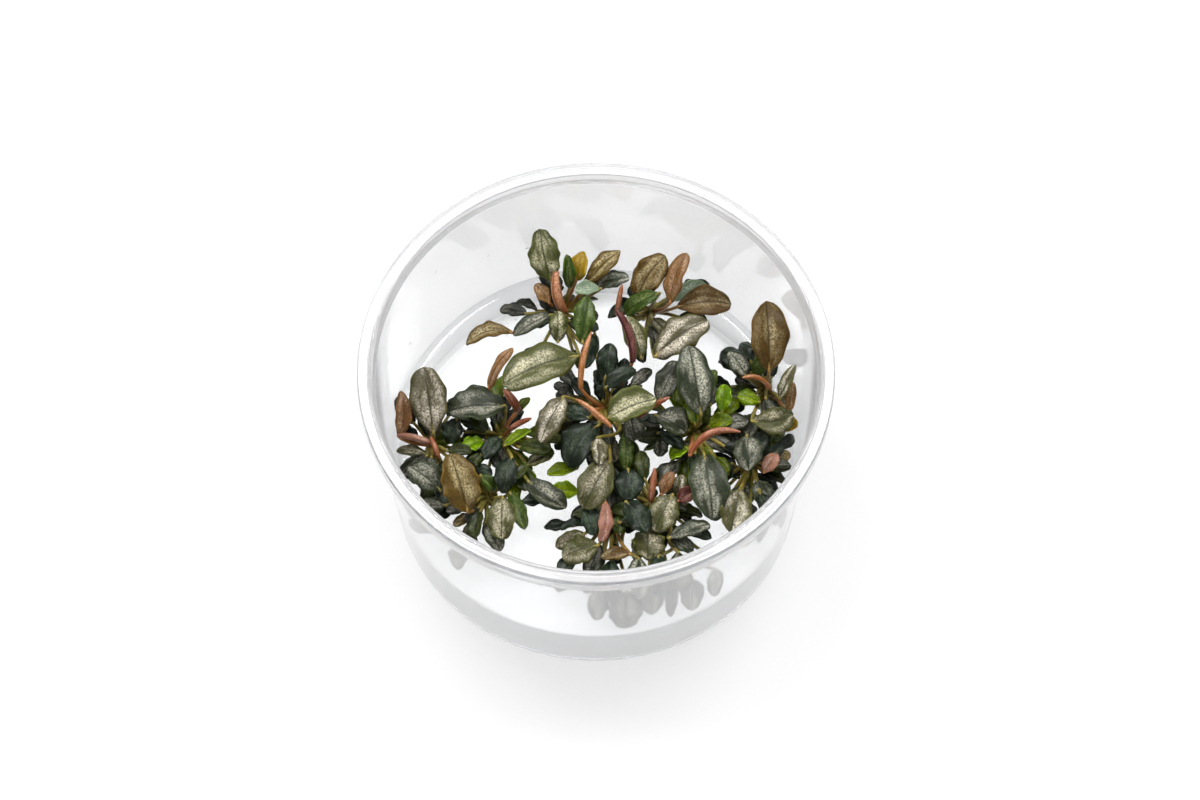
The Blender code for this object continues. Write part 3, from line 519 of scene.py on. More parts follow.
def new_finish(name):
    """A material with its shader, ready for nodes, and the Object coordinates of what it covers."""
    made = bpy.data.materials.new(name)
    made.use_nodes = True
    tree = made.node_tree
    return made, tree, tree.nodes["Principled BSDF"], node(tree, "ShaderNodeTexCoord", out="Object")


def layered(tree, ground, layers):
    """A ground colour under layers of other colours, each by its own share."""
    colour = linear(ground)
    for share, layer in layers:
        inputs = {0: share, 6: colour, 7: linear(layer)}
        colour = node(tree, "ShaderNodeMix", inputs, 2, data_type="RGBA")
    return colour


def leaf_finish(name, tissue, bloom_and_sheen, margin, vein, cover, gloss, glow):
    """Leaf skin: a dark tissue under a fine silvery bloom that stops short of the margins.

    The bloom is made of air-filled cells, so it reads as a speckle. It thins along the midrib and towards
    the foot, and it lies in broad patches that are painted sheen: the light that the satin blade throws
    back, drawn into its colour. cover is how much of the tissue it hides, gloss is the roughness and glow
    is how much light passes through the blade.
    """
    made, tree, shader, place_m = new_finish(name)
    along = node(tree, "ShaderNodeSeparateXYZ", [node(tree, "ShaderNodeUVMap", uv_map="blade")])
    over = along.node.outputs["Y"]
    from_side = node(tree, MATH, [over, 2.0, -1.0], operation="MULTIPLY_ADD")
    across = node(tree, MATH, [from_side], operation="ABSOLUTE")
    tint = node(tree, "ShaderNodeAttribute", out="Fac", attribute_name="tint")
    # The cells are some 0.2 mm apart in life, and are drawn about twice as coarse, so that they show.
    fine = node(tree, NOISE, {"Vector": place_m, "Scale": per_metre(0.42), "Detail": 3.0})
    cells = node(tree, "ShaderNodeTexVoronoi", {"Vector": place_m, "Scale": per_metre(0.50)})
    # Patches of painted sheen are laid out on the blade: about two along it and three across it, others on
    # each leaf.
    spot = []
    for way, times in ((along, 1.9), (over, 2.6), (tint, 40.0)):
        spot.append(node(tree, MATH, [way, times], operation="MULTIPLY"))
    spot = node(tree, "ShaderNodeCombineXYZ", spot)
    patches = node(tree, NOISE, {"Vector": spot, "Scale": 1.0, "Detail": 2.0})

    share = node(tree, RAMP, [across, 0.95, 0.45])
    off_midrib = node(tree, RAMP, [across, 0.03, 0.16, 0.35, 1.0])
    from_foot = node(tree, RAMP, [along, 0.02, 0.22, 0.3, 1.0])
    # painted sheen: the bloom is drawn brighter in these broad patches, where light glances off the blade
    painted_sheen_patches = node(tree, RAMP, [patches, 0.40, 0.60, 0.06, 1.0])
    grains = node(tree, RAMP, [fine, 0.37, 0.61, 0.20, 1.0])
    for part in (off_midrib, from_foot, painted_sheen_patches, grains, cover):
        share = node(tree, MATH, [share, part], operation="MULTIPLY")

    forward = node(tree, MATH, [along, VEINS], operation="MULTIPLY")
    side = node(tree, MATH, [across, -VEIN_SLANT, forward], operation="MULTIPLY_ADD")
    wave = node(tree, MATH, [side, 0.5], operation="PINGPONG")
    colour = layered(tree, tissue, [
        (share, bloom_and_sheen),
        (node(tree, RAMP, [cells, 0.18, 0.40, 0.75, 0.0]), vein),  # a dark pore in each cell
        (node(tree, RAMP, [wave, 0.40, 0.50, 0.0, 0.18]), vein),  # side veins
        (node(tree, RAMP, [across, 0.075, 0.025, 0.0, 0.60]), vein),  # midrib
        (node(tree, RAMP, [across, 0.90, 0.985, 0.0, 0.65]), margin),
    ])
    lightness = node(tree, RAMP, [tint, -1.0, 1.0, 0.26, 1.20])
    hue = node(tree, RAMP, [tint, 0.0, 1.0, 0.487, 0.513])
    shade = {"Color": colour, "Saturation": 1.16, "Value": lightness, "Hue": hue}
    sunk_vein = node(tree, RAMP, [wave, 0.40, 0.50, 0.0, -0.45])
    relief = node(tree, MATH, [fine, sunk_vein], operation="ADD")
    bump = {"Height": relief, "Strength": 0.32, "Distance": 0.06 * MM}
    wire(tree, shader, {
        "Base Color": node(tree, "ShaderNodeHueSaturation", shade),
        "Roughness": node(tree, RAMP, [fine, 0.3, 0.7, gloss - 0.07, gloss + 0.09]),
        "Normal": node(tree, "ShaderNodeBump", bump),
        "IOR": 1.42, "Specular IOR Level": 0.25,
        "Subsurface Weight": glow, "Subsurface Radius": (0.7, 1.0, 0.3), "Subsurface Scale": 0.5 * MM,
    })
    return made


def stalk_finish():
    """Fleshy leaf stalks: olive to ochre, flushed orange near the young leaves, with dark flecks."""
    made, tree, shader, place_m = new_finish("fleshy stalk skin")
    # Olive and ochre take turns every few millimetres, and the flecks are a third of a millimetre.
    patches = node(tree, NOISE, {"Vector": place_m, "Scale": per_metre(2.4), "Detail": 2.0})
    flecks = node(tree, NOISE, {"Vector": place_m, "Scale": per_metre(0.3), "Detail": 1.0})
    flush = node(tree, "ShaderNodeAttribute", out="Fac", attribute_name="tint")
    colour = layered(tree, "#5A5C22", [
        (node(tree, RAMP, [patches, 0.35, 0.65]), "#8E803C"),
        (flush, "#B87448"),
        (node(tree, RAMP, [flecks, 0.45, 0.75, 0.0, 0.35]), "#2E2A14"),
    ])
    bump = {"Height": flecks, "Strength": 0.4, "Distance": 0.05 * MM}
    wire(tree, shader, {
        "Base Color": colour,
        "Normal": node(tree, "ShaderNodeBump", bump),
        "Roughness": 0.42, "IOR": 1.42,
        "Subsurface Weight": 0.25, "Subsurface Radius": (1.0, 0.7, 0.25), "Subsurface Scale": 0.6 * MM,
    })
    return made


def cup_finish():
    """Polypropylene, injection moulded: clear with a faint milky haze and a smooth, soft gloss.

    The rim's outer edge is seen through more of the plastic, so it looks greyer; that grey is painted shade,
    drawn into its colour.
    """
    made, tree, shader, place_m = new_finish("clear polypropylene")
    # The mould leaves faint clouds, some 14 mm across, in the gloss.
    cloud = node(tree, NOISE, {"Vector": place_m, "Scale": per_metre(14.0), "Detail": 2.0})
    flat = node(tree, "ShaderNodeVectorMath", [place_m, (1.0, 1.0, 0.0)], operation="MULTIPLY")
    away = node(tree, "ShaderNodeVectorMath", [flat], "Value", operation="LENGTH")
    height = node(tree, "ShaderNodeSeparateXYZ", [place_m], "Z")
    # painted shade: a grey line along the outer top edge of the flange
    edge_m = RIM_EDGE * MM
    outermost = node(tree, RAMP, [away, RIM_RADIUS * MM - edge_m, RIM_RADIUS * MM - 0.3 * edge_m])
    topmost = node(tree, RAMP, [height, CUP_HEIGHT * MM - 2 * edge_m, CUP_HEIGHT * MM - 1.5 * edge_m])
    painted_rim_shade = node(tree, MATH, [outermost, topmost], operation="MULTIPLY")
    wire(tree, shader, {
        "Base Color": layered(tree, "#FCFCFD", [(painted_rim_shade, "#B0B3B6")]),
        "Roughness": node(tree, RAMP, [cloud, 0.3, 0.7, 0.05, 0.10]),
        "Transmission Weight": 0.79, "IOR": 1.49,
    })
    return made


def gel_finish():
    """Set agar-like gel: water clear with a faint cloud, and a wet top that is not quite even.

    A weak glow stands for the light that the gel scatters.
    """
    made, tree, shader, place_m = new_finish("culture gel")
    # The top swells and sinks a little every 6 mm.
    swell = node(tree, NOISE, {"Vector": place_m, "Scale": per_metre(6.0), "Detail": 2.0})
    bump = {"Height": swell, "Strength": 0.25, "Distance": 0.3 * MM}
    wire(tree, shader, {
        "Normal": node(tree, "ShaderNodeBump", bump),
        "Base Color": linear("#F7F8F8"), "Emission Color": linear("#F7F8F8"), "Emission Strength": 0.08,
        "Roughness": 0.06, "Transmission Weight": 0.80, "IOR": 1.335,
    })
    return made


def clear_finish(name, roughness, ior):
    """A clear and colourless stuff with a smooth skin: a drop of water, or the air in a bubble."""
    made, tree, shader, _ = new_finish(name)
    look = {"Base Color": linear("#FFFFFF"), "Roughness": roughness, "Transmission Weight": 1.0, "IOR": ior}
    wire(tree, shader, look)
    return made


# Tone: slot; tissue, bloom and its painted sheen, margin, vein, cover of the bloom, roughness, glow through
# the blade
LEAF_TONES = {
    "silver": ("silver_leaf", "#3E3B22", "#D8D0C0", "#595630", "#1C1C16", 0.98, 0.42, 0.05),
    "olive": ("olive_leaf", "#3C3E20", "#C4BDA6", "#55562C", "#1E2016", 0.92, 0.43, 0.05),
    "bronze": ("bronze_leaf", "#48361A", "#AFA282", "#624C28", "#1F180E", 0.84, 0.43, 0.05),
    "slate": ("dark_leaf", "#1E2415", "#ACAA9C", "#3A432C", "#0F140E", 0.88, 0.41, 0.04),
    "teal": ("dark_leaf", "#0D170C", "#667260", "#1F301C", "#060C08", 0.56, 0.37, 0.03),
    "moss": ("green_leaf", "#283413", "#848A5C", "#45541C", "#131D0A", 0.52, 0.33, 0.06),
    "mint": ("silver_leaf", "#6E7D68", "#C2CABA", "#93A084", "#536254", 0.75, 0.40, 0.12),
    "lime": ("green_leaf", "#4E621A", "#AAB654", "#A0BC58", "#2A4614", 0.50, 0.32, 0.18),
    "coral": ("young_leaf", "#845640", "#C8A28E", "#AC7C5A", "#523626", 0.66, 0.40, 0.15),
    "rust": ("young_leaf", "#684C34", "#BBA08A", "#7C5838", "#382818", 0.68, 0.42, 0.10),
    "maroon": ("young_leaf", "#4E302A", "#A47C70", "#6C463C", "#2C1917", 0.60, 0.40, 0.10),
    "blush": ("young_leaf", "#8A6656", "#C8AEA0", "#9C7766", "#6A4E42", 0.72, 0.45, 0.14),
    "apricot": ("young_leaf", "#78602E", "#BCA274", "#8C7038", "#584424", 0.58, 0.42, 0.16),
}
# How far the stalk of a leaf is flushed with the leaf's warm colour
FLUSH = {"coral": 0.9, "maroon": 0.8, "rust": 0.7, "blush": 0.6, "apricot": 0.6, "bronze": 0.35}
leaf_skins = {tone: leaf_finish("leaf skin " + tone, *look) for tone, (slot, *look) in LEAF_TONES.items()}


# ---- meshes ----

def shown(name, data):
    """An object of the scene."""
    made = bpy.data.objects.new(name, data)
    bpy.context.scene.collection.objects.link(made)
    return made


def add_piece(name, mesh, stands_for, slot):
    """A finished piece of the object, that stands for its node of the model."""
    made = shown(name, mesh)
    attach(made, "root")
    if stands_for:
        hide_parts(stands_for)
    return made


class Manner:
    """How one leaf differs from the next: its outline, fold, twist, ripple and curl."""

    def __init__(self, leaf, luck):
        size = min(leaf.width / 6, 1.0)
        self.phase = luck.uniform(0, 2 * pi)
        self.ripples = luck.uniform(1.3, 2.6)
        self.wave = MARGIN_WAVE * luck.uniform(0.4, 1.0) * size
        self.fold = luck.uniform(0.24, 0.68)
        self.twist = radians(luck.uniform(-26, 26))
        self.curl = luck.uniform(-0.42, 0.14)
        self.nod = luck.uniform(-0.02, 0.13) * leaf.length
        self.skew = luck.uniform(0.98, 1.14)
        self.blunt = luck.uniform(0.40, 0.54)
        self.lean = luck.uniform(-0.06, 0.06)


def fine_sheet(leaf, rows, columns, luck):
    """One leaf's skin as a grid of points with their blade coordinates."""
    manner = Manner(leaf, luck)
    points, marks = [], []
    for row in range(rows + 1):
        u = row / rows
        for column in range(columns + 1):
            v = 2 * column / columns - 1
            if leaf.kind == "roll":
                points.append(rolled_point(leaf, u, v))
            else:
                points.append(blade_point(leaf, u, v, manner))
            marks.append((u, column / columns))
    return points, marks


def fine_half_width(leaf, u, manner):
    """Half width of a blade: tapering to the stalk, widest about the middle, with a blunt tip."""
    turn = pi * u ** manner.skew
    power = FOOT_TAPER if turn < pi / 2 else manner.blunt
    return 0.5 * leaf.width * max(sin(turn), 0.0) ** power + THIN_END


def blade_point(leaf, u, v, manner):
    """A point of an open blade, with its fold, its swelling between veins and its wavy margin."""
    half = fine_half_width(leaf, u, manner)
    side = 1 if v > 0 else -1
    ripple = 2 * pi * manner.ripples * u + manner.phase + side * WAVE_SHIFT
    reach = v * half * (1 + SCALLOP * sin(SCALLOP_PACE * ripple) + side * manner.lean)
    spread = min(half / FULL_RELIEF, 1.0)
    lift = manner.fold * (sqrt(reach * reach + FOLD_ROUND) - FOLD_SINK)
    lift -= MIDRIB_GROOVE * spread * exp(-(reach / MIDRIB_WIDTH) ** 2)
    veins = cos(2 * pi * (VEINS * u - VEIN_SLANT * abs(v)))
    lift -= QUILT * veins * spread * abs(v) * (1 - abs(v)) * 4
    lift += manner.wave * abs(v) ** 2.5 * sin(ripple) * spread
    lift += manner.curl * half * abs(v) ** 3
    turn = manner.twist * (u - 0.2)
    across = reach * cos(turn) - lift * sin(turn)
    over = reach * sin(turn) + lift * cos(turn)
    beyond = max(u - NOD_START, 0.0) / (1 - NOD_START)
    over -= manner.nod * beyond ** 2
    return leaf.midrib(u) + leaf.side * across + leaf.face * over


def rolled_point(leaf, u, v):
    """A point of a leaf that is still rolled: the sheet goes once round and a little over itself."""
    share = (v + 1) / 2
    turn = radians(ROLL_START + ROLL_TURN * share)
    radius = leaf.radius(u) * (ROLL_INNER + ROLL_GROWTH * share)
    if u > 1 - ROLL_POINT and leaf.width < THIN_ROLL:
        radius *= max((1 - u) / ROLL_POINT, 0.05) ** 0.7
    return leaf.midrib(u) + (leaf.side * cos(turn) + leaf.face * sin(turn)) * radius


def add_blades(name, leaves, stands_for, slot, grid, luck, shaded=0.0):
    """A piece made of one or more leaves: their skins, given a blade's thickness.

    Each leaf draws its own tint, lowered by shaded where it stands in the shade.
    """
    rows, columns = grid
    tones = sorted({leaf.tone for leaf in leaves})
    points, faces, marks, tints, slots = [], [], [], [], []
    for leaf in leaves:
        first = len(points)
        skin, blade_marks = fine_sheet(leaf, rows, columns, luck)
        points += [point * MM for point in skin]
        marks += blade_marks
        tints += [luck.random() - shaded] * len(skin)
        for row in range(rows):
            for column in range(columns):
                a = first + row * (columns + 1) + column
                faces.append((a, a + 1, a + columns + 2, a + columns + 1))
                slots.append(tones.index(leaf.tone))
    mesh = bpy.data.meshes.new(name)
    mesh.from_pydata(points, [], faces)
    uv = mesh.uv_layers.new(name="blade")
    for loop in mesh.loops:
        uv.data[loop.index].uv = marks[loop.vertex_index]
    mesh.attributes.new("tint", "FLOAT", "POINT").data.foreach_set("value", tints)
    for tone in tones:
        mesh.materials.append(leaf_skins[tone])
    mesh.polygons.foreach_set("material_index", slots)
    mesh.shade_smooth()
    wall = add_piece(name, mesh, stands_for, slot).modifiers.new("Blade thickness", "SOLIDIFY")
    wall.thickness = BLADE_THICK * MM
    wall.offset = 0.0
    wall.use_even_offset = False


def plain_mesh(name, source):
    """The mesh that the modifiers of source make of it; source itself is removed."""
    depsgraph = bpy.context.evaluated_depsgraph_get()
    mesh = bpy.data.meshes.new_from_object(source.evaluated_get(depsgraph))
    bpy.data.objects.remove(source, do_unlink=True)
    mesh.name = name
    return mesh


def grown(name, source, tree, skin_socket, skin):
    """The plain mesh that a Geometry Nodes tree grows on source, in a skin."""
    modifier = source.modifiers.new("Grown", "NODES")
    modifier.node_group = tree
    modifier[skin_socket] = skin
    return plain_mesh(name, source)


def new_tree(title, sizes, skin):
    """A Geometry Nodes tree with named sizes and a skin to set, what it is given, and the skin's socket."""
    tree = bpy.data.node_groups.new(title, "GeometryNodeTree")
    sockets = tree.interface
    sockets.new_socket("Geometry", in_out="INPUT", socket_type="NodeSocketGeometry")
    for name, size in sizes.items():
        kind = "NodeSocketInt" if isinstance(size, int) else "NodeSocketFloat"
        sockets.new_socket(name, in_out="INPUT", socket_type=kind).default_value = size
    skin_socket = sockets.new_socket(skin, in_out="INPUT", socket_type="NodeSocketMaterial")
    sockets.new_socket("Geometry", in_out="OUTPUT", socket_type="NodeSocketGeometry")
    return tree, node(tree, "NodeGroupInput").node.outputs, skin_socket.identifier


def finish_tree(tree, geometry, skin):
    """The last nodes of a tree: one real, smooth mesh in its skin."""
    smooth = node(tree, "GeometryNodeSetShadeSmooth", {"Geometry": geometry})
    real = node(tree, "GeometryNodeRealizeInstances", {"Geometry": smooth})
    dressed = node(tree, "GeometryNodeSetMaterial", {"Geometry": real, "Material": skin})
    node(tree, "NodeGroupOutput", {"Geometry": dressed})


def stalks_tree():
    """Geometry Nodes: every run of edges becomes a round tube of its own radius."""
    tree, given, skin_socket = new_tree("Stalks from paths", {"Sides": STALK_SIDES}, "Skin")
    paths = node(tree, "GeometryNodeMeshToCurve", {"Mesh": given["Geometry"]})
    width = node(tree, "GeometryNodeInputNamedAttribute", {"Name": "radius"}, data_type="FLOAT")
    ring = node(tree, "GeometryNodeCurvePrimitiveCircle", {"Resolution": given["Sides"], "Radius": 1.0})
    tube = {"Curve": paths, "Profile Curve": ring, "Scale": width, "Fill Caps": True}
    finish_tree(tree, node(tree, "GeometryNodeCurveToMesh", tube), given["Skin"])
    return tree, skin_socket


def path_source(name, paths):
    """Edges along each path, with each point's radius and its tint."""
    points, edges, radii, tints = [], [], [], []
    for spine, widths, tint in paths:
        first = len(points)
        points += [point * MM for point in spine]
        edges += [(first + n, first + n + 1) for n in range(len(spine) - 1)]
        radii += [width * MM for width in widths]
        tints += [tint] * len(spine)
    mesh = bpy.data.meshes.new(name)
    mesh.from_pydata(points, edges, [])
    for title, values in (("radius", radii), ("tint", tints)):
        mesh.attributes.new(title, "FLOAT", "POINT").data.foreach_set("value", values)
    return shown(name, mesh)


def smooth_through(spots, steps):
    """Points on a smooth curve through the spots."""
    ends = [spots[0] * 2 - spots[1]] + list(spots) + [spots[-1] * 2 - spots[-2]]
    points = []
    for n in range(len(spots) - 1):
        a, b, c, d = ends[n:n + 4]
        for step in range(steps):
            t = step / steps
            bend = b * 2 + (c - a) * t + (a * 2 - b * 5 + c * 4 - d) * t ** 2
            points.append((bend + (b * 3 - a - c * 3 + d) * t ** 3) * 0.5)
    return points + [spots[-1]]


def stalk_path(leaf):
    """A leaf's stalk up to its blade, and on under the blade as the midrib's keel."""
    keel = [leaf.midrib(u) - leaf.face * (0.10 + 0.9 * min(u, 0.3)) for u in (0.0, 0.07, 0.15, 0.25)]
    route = list(leaf.stalk[:-1])
    steps = 4
    spine = smooth_through(route + keel, steps)
    foot = steps * len(route)
    radii = [FINE_STALK * (1.3 - 0.4 * n / foot) for n in range(foot)]
    rest = len(spine) - foot
    radii += [FINE_STALK * (0.9 - 0.65 * n / rest) for n in range(rest)]
    return spine, radii, FLUSH.get(leaf.tone, 0.05)


def stem_path(plant):
    """The creeping stem, fullest at its middle, with seven rings of old leaf scars."""
    spine = smooth_through(stem_spine(plant), 8)
    shares = [n / (len(spine) - 1) for n in range(len(spine))]
    radii = [STEM_RADIUS * (0.72 + 0.3 * sin(pi * t) + 0.10 * cos(2 * pi * 7 * t)) for t in shares]
    return spine, radii, 0.0


def under_leaves(plant, taken, luck):
    """Small leaves low in a plantlet, by the golden angle, wherever there is room for them."""
    middle = PLANTS[plant][0]
    tones = ["teal", "slate", "moss", "teal", "olive", "slate"]
    if plant in "bg":  # the two with fresh green growth
        tones = ["lime", "moss", "teal", "lime", "slate", "moss"]
    start = stem_spine(plant)[2]
    leaves = []
    for n in range(UNDER_TRIES):
        if len(leaves) == UNDER_LEAVES[plant]:
            break
        way = level_way(GOLDEN_ANGLE * n + luck.uniform(-20, 20))
        out = luck.uniform(1.0, 9.0)
        length = luck.uniform(4.5, 8.5)
        foot = Vector((*middle, luck.uniform(*UNDER_LEVELS))) + way * out
        tip = foot + way * length + UP * luck.uniform(-1.5, 2.5)
        width = length * luck.uniform(0.42, 0.62)
        tone = tones[len(leaves) % len(tones)]
        leaf = Leaf((plant, tuple(foot), tuple(tip), width, tone, "blade", luck.uniform(-30, 30), 0), True)
        form = leaf.solid(0.05)
        if not in_cup(form[0]) or hits(form, taken):
            continue
        end = leaf.midrib(0.05)
        leaf.stalk = [start, start.lerp(end, 0.5) + UP * 0.4, end]
        taken.append(touchable(leaf.solid()))
        leaves.append(leaf)
    return leaves


# ---- the plants ----

luck = random.Random(29)
leaves = arrange()
number = dict.fromkeys(PLANTS, 0)
for leaf in leaves:
    if leaf.fused:
        continue
    number[leaf.plant] += 1
    title = f"leaf_{leaf.plant}{number[leaf.plant]}"
    add_blades(title + "_blade", [leaf], title, LEAF_TONES[leaf.tone][0], BLADE_GRID, luck)

stalk_nodes, skin_socket = stalks_tree()
stalk_skin = stalk_finish()
taken = [leaf.form for leaf in leaves]
for plant in PLANTS:
    title = "plantlet_" + plant
    sprigs = [leaf for leaf in leaves if leaf.fused and leaf.plant == plant]
    small = under_leaves(plant, taken, luck)
    add_blades(title + "_sprigs", sprigs, title, "green_leaf", SPRIG_GRID, luck)
    add_blades(title + "_under_leaves", small, title, "green_leaf", SMALL_GRID, luck, UNDER_SHADE)
    paths = [stem_path(plant)] + [stalk_path(leaf) for leaf in leaves + small if leaf.plant == plant]
    name = title + "_stalks"
    stalks = grown(name, path_source(name, paths), stalk_nodes, skin_socket, stalk_skin)
    add_piece(name, stalks, title, "stalk")


# ---- cup and gel ----

def arc(middle, radius, start, end, count):
    """Points on part of a circle in the half section, angles in degrees from the +radius way."""
    angles = [radians(start + (end - start) * n / count) for n in range(count + 1)]
    return [(middle[0] + radius * cos(a), middle[1] + radius * sin(a)) for a in angles]


def turned_mesh(name, profile, finish):
    """A closed skin from a half section that runs from axis to axis, outer side from the top down."""
    source = bpy.data.meshes.new(name)
    points = [(radius * MM, 0.0, height * MM) for radius, height in profile]
    source.from_pydata(points, [(n, n + 1) for n in range(len(points) - 1)], [])
    guide = shown(name, source)
    screw = guide.modifiers.new("Screw", "SCREW")
    screw.axis = "Z"
    screw.steps = screw.render_steps = CUP_STEPS
    screw.use_merge_vertices = True
    screw.merge_threshold = 0.00001
    mesh = plain_mesh(name, guide)
    mesh.materials.append(finish)
    mesh.shade_smooth()
    mesh.set_sharp_from_angle(angle=radians(40))
    return mesh


def cup_profile():
    """Middle of the floor, up the inside to the bead, over the stepped flange, down to the base."""
    flat = 30.0  # radius of the part of floor and base that gets one fan of faces
    skirt_foot = CUP_HEIGHT - SKIRT_DEPTH + SKIRT_EDGE
    under_flange = CUP_HEIGHT - FLANGE_THICK
    skirt_inside = RIM_RADIUS - SKIRT_THICK
    bead_level = CUP_HEIGHT - BEAD_DROP
    edge_level = CUP_HEIGHT - RIM_EDGE
    return [
        (0.0, FLOOR), (flat, FLOOR),
        *arc((inner_radius(FLOOR) - HEEL, FLOOR + HEEL), HEEL, -90, 0, 8),
        (inner_radius(bead_level) + BEAD_START[0], bead_level + BEAD_START[1]),
        *arc((inner_radius(bead_level) + BEAD_SINK, bead_level), BEAD_RADIUS, 240, 120, 6),
        (MOUTH_RADIUS, bead_level + BEAD_END),
        *arc((MOUTH_RADIUS + RIM_EDGE, edge_level), RIM_EDGE, 180, 90, 4),
        *arc((MOUTH_RADIUS + GROOVE[0], CUP_HEIGHT + GROOVE[1]), GROOVE_RADIUS, 200, 340, 5),
        *arc((RIM_RADIUS - RIM_EDGE, edge_level), RIM_EDGE, 90, 0, 5),
        *arc((RIM_RADIUS - SKIRT_EDGE, skirt_foot), SKIRT_EDGE, 0, -90, 2),
        *arc((skirt_inside + SKIRT_EDGE, skirt_foot), SKIRT_EDGE, -90, -180, 2),
        (skirt_inside, under_flange), (inner_radius(under_flange) + WALL, under_flange),
        *arc((FOOT_RADIUS, HEEL), HEEL, 0, -90, 8),
        (flat, 0.0), (0.0, 0.0),
    ]


def gel_profile():
    """Middle of the top, out to the meniscus, down the wall and back along the floor."""
    wall = inner_radius(GEL_LEVEL) + GEL_BITE
    bottom = FLOOR - GEL_BITE
    shares = [n / 8 for n in range(9)]
    return [
        (0.0, GEL_LEVEL),
        *[(wall - MENISCUS_WIDTH * (1 - t), GEL_LEVEL + MENISCUS * t ** 3) for t in shares],
        *arc((inner_radius(FLOOR) - HEEL + GEL_BITE, bottom + HEEL), HEEL, 0, -90, 8),
        (0.0, bottom),
    ]


def balls(tree, points, turned, radius, smallest, flat, seed):
    """A small ball on every point, from smallest to full size, and flat times as high as wide."""
    ball = node(tree, "GeometryNodeMeshIcoSphere", {"Radius": radius, "Subdivisions": 3})
    chance = node(tree, "FunctionNodeRandomValue", {2: smallest, 3: 1.0, "Seed": seed}, 1, data_type="FLOAT")
    size = node(tree, "ShaderNodeVectorMath", {0: (1.0, 1.0, flat), "Scale": chance}, operation="SCALE")
    put = {"Points": points, "Instance": ball, "Rotation": turned, "Scale": size}
    return node(tree, "GeometryNodeInstanceOnPoints", put)


def drops_tree():
    """Geometry Nodes: small drops scattered on the inside of the wall, flattened against it."""
    sizes = {"Drops per square metre": DROPS_PER_SQUARE_METRE, "Drop radius": DROP_RADIUS * MM}
    tree, given, water_socket = new_tree("Drops on a wall", sizes, "Water")
    scatter = {"Mesh": given["Geometry"], "Density": given["Drops per square metre"], "Seed": 7}
    points = node(tree, "GeometryNodeDistributePointsOnFaces", scatter)
    turned = points.node.outputs["Rotation"]
    drops = balls(tree, points, turned, given["Drop radius"], LEAST_DROP, DROP_FLATNESS, 3)
    finish_tree(tree, drops, given["Water"])
    return tree, water_socket


def bubbles_tree():
    """Geometry Nodes: a small round bubble on every point, no two of a size."""
    tree, given, air_socket = new_tree("Bubbles on points", {"Bubble radius": BUBBLE_RADIUS * MM}, "Air")
    upright = (0.0, 0.0, 0.0)
    round_ones = balls(tree, given["Geometry"], upright, given["Bubble radius"], LEAST_BUBBLE, 1.0, 11)
    finish_tree(tree, round_ones, given["Air"])
    return tree, air_socket


def bubble_spots(luck):
    """Places just under the gel's top, most of them in a patch near the back wall on the left."""
    spots = []
    for n in range(BUBBLES):
        angle = radians(luck.gauss(*BUBBLE_PATCH) if n % 4 else luck.uniform(0, 360))
        radius = luck.uniform(*BUBBLES_OUT)
        level = GEL_LEVEL - luck.uniform(*BUBBLES_DOWN)
        spots.append(Vector((radius * cos(angle), radius * sin(angle), level)) * MM)
    mesh = bpy.data.meshes.new("bubble spots")
    mesh.from_pydata(spots, [], [])
    return shown("bubble spots", mesh)


def wall_band(low, high, inset):
    """An open band just inside the cup's wall, from height low to high, facing inwards."""
    band = bpy.data.meshes.new("wall band")
    steps = 96
    points = []
    for height in (low, high):
        for n in range(steps):
            angle = 2 * pi * n / steps
            radius = inner_radius(height) - inset
            points.append((radius * cos(angle) * MM, radius * sin(angle) * MM, height * MM))
    faces = [(n, steps + n, steps + (n + 1) % steps, (n + 1) % steps) for n in range(steps)]
    band.from_pydata(points, [], faces)
    return shown("wall band", band)


# The index of the air in a bubble is taken against the gel's round it, so it is below 1.
water = clear_finish("condensed water", 0.02, 1.333)
air = clear_finish("air bubble", 0.0, 0.75)
add_piece("cup_moulding", turned_mesh("cup_moulding", cup_profile(), cup_finish()), "cup", "clear_cup")
add_piece("gel_fill", turned_mesh("gel_fill", gel_profile(), gel_finish()), "gel", "culture_gel")
add_piece("gel_bubbles", grown("gel_bubbles", bubble_spots(luck), *bubbles_tree(), air), "gel", "culture_gel")
dewy_wall = wall_band(*DEW_LEVELS, DEW_INSET)
add_piece("wall_drops", grown("wall_drops", dewy_wall, *drops_tree(), water), None, "clear_cup")


# ---- stage ----

CAMERA_PLACE_M = (0.00084, -0.2776, 0.5687)
CAMERA_DOWN = 62.41  # degrees below the horizon
CARD_SIDE_M = 6.0
CARD_DROP = 0.2  # mm under the base
SOFT_BOX_M = 0.34  # side of each light
LIT_SPOT_M = (0.0, 0.0, 0.02)


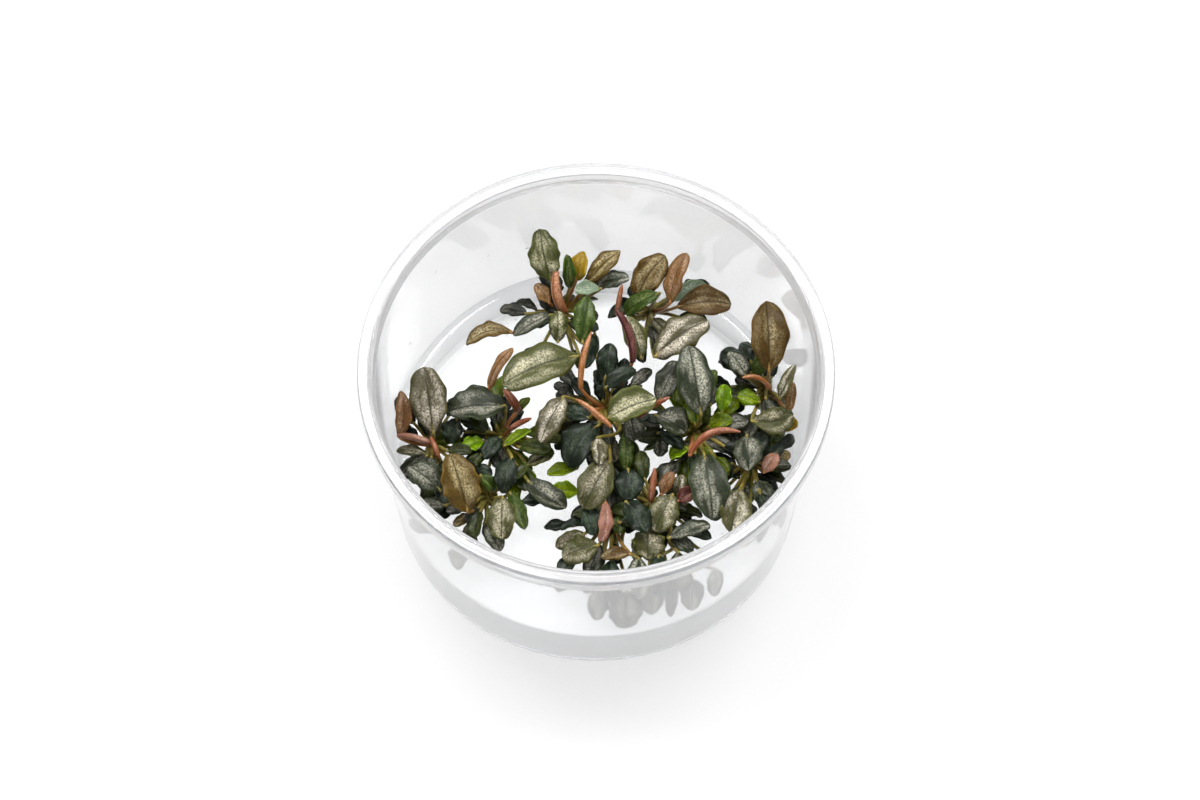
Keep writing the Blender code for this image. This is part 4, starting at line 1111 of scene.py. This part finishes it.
def add_floor():
    """A wide white card, just clear of the base. It glows, and most under the cup."""
    bpy.ops.mesh.primitive_plane_add(size=CARD_SIDE_M, location=(0.0, 0.0, -CARD_DROP * MM))
    floor = bpy.context.object
    floor.name = "floor"
    made, tree, shader, place_m = new_finish("lit white card")
    away = node(tree, "ShaderNodeVectorMath", [place_m], "Value", operation="LENGTH")
    foot_m = FOOT_RADIUS * MM
    wire(tree, shader, {
        "Emission Strength": node(tree, RAMP, [away, 0.94 * foot_m, 1.01 * foot_m, 1.6, 0.59]),
        "Emission Color": (1.0, 1.0, 1.0, 1.0), "Base Color": (0.28, 0.28, 0.28, 1.0),
        "Roughness": 0.9, "Specular IOR Level": 0.1,
    })
    floor.data.materials.append(made)


def add_light(name, place_m, watts):
    """A square soft box overhead, aimed at the gel."""
    data = bpy.data.lights.new(name, "AREA")
    data.shape = "SQUARE"
    data.size = SOFT_BOX_M
    data.energy = watts
    made = shown(name, data)
    made.location = place_m
    way = Vector(LIT_SPOT_M) - Vector(place_m)
    made.rotation_euler = way.to_track_quat("-Z", "Y").to_euler()


def add_world(overhead, low):
    """A white studio, brightest overhead, with greyer walls that draw the edges of clear plastic."""
    world = bpy.data.worlds.new("white studio")
    world.use_nodes = True
    tree = world.node_tree
    way = node(tree, "ShaderNodeTexCoord", out="Generated")
    height = node(tree, "ShaderNodeSeparateXYZ", [way], "Z")
    strength = node(tree, RAMP, [height, 0.05, 0.55, low, overhead])
    wire(tree, tree.nodes["Background"], {"Color": (1.0, 1.0, 1.0, 1.0), "Strength": strength})
    bpy.context.scene.world = world


def add_camera():
    """Looks down at the front of the cup."""
    data = bpy.data.cameras.new("camera")
    data.lens = 84.0
    data.sensor_width = 36.0
    data.clip_start = 0.01
    made = shown("camera", data)
    made.location = CAMERA_PLACE_M
    made.rotation_euler = (radians(90 - CAMERA_DOWN), 0.0, 0.0)
    bpy.context.scene.camera = made


add_floor()
add_world(1.05, 0.44)
add_light("right soft box", (0.30, 0.25, 0.95), 5.5)
add_light("left soft box", (-0.30, 0.25, 0.95), 7.0)
add_camera()
bpy.context.scene.view_settings.view_transform = "Standard"
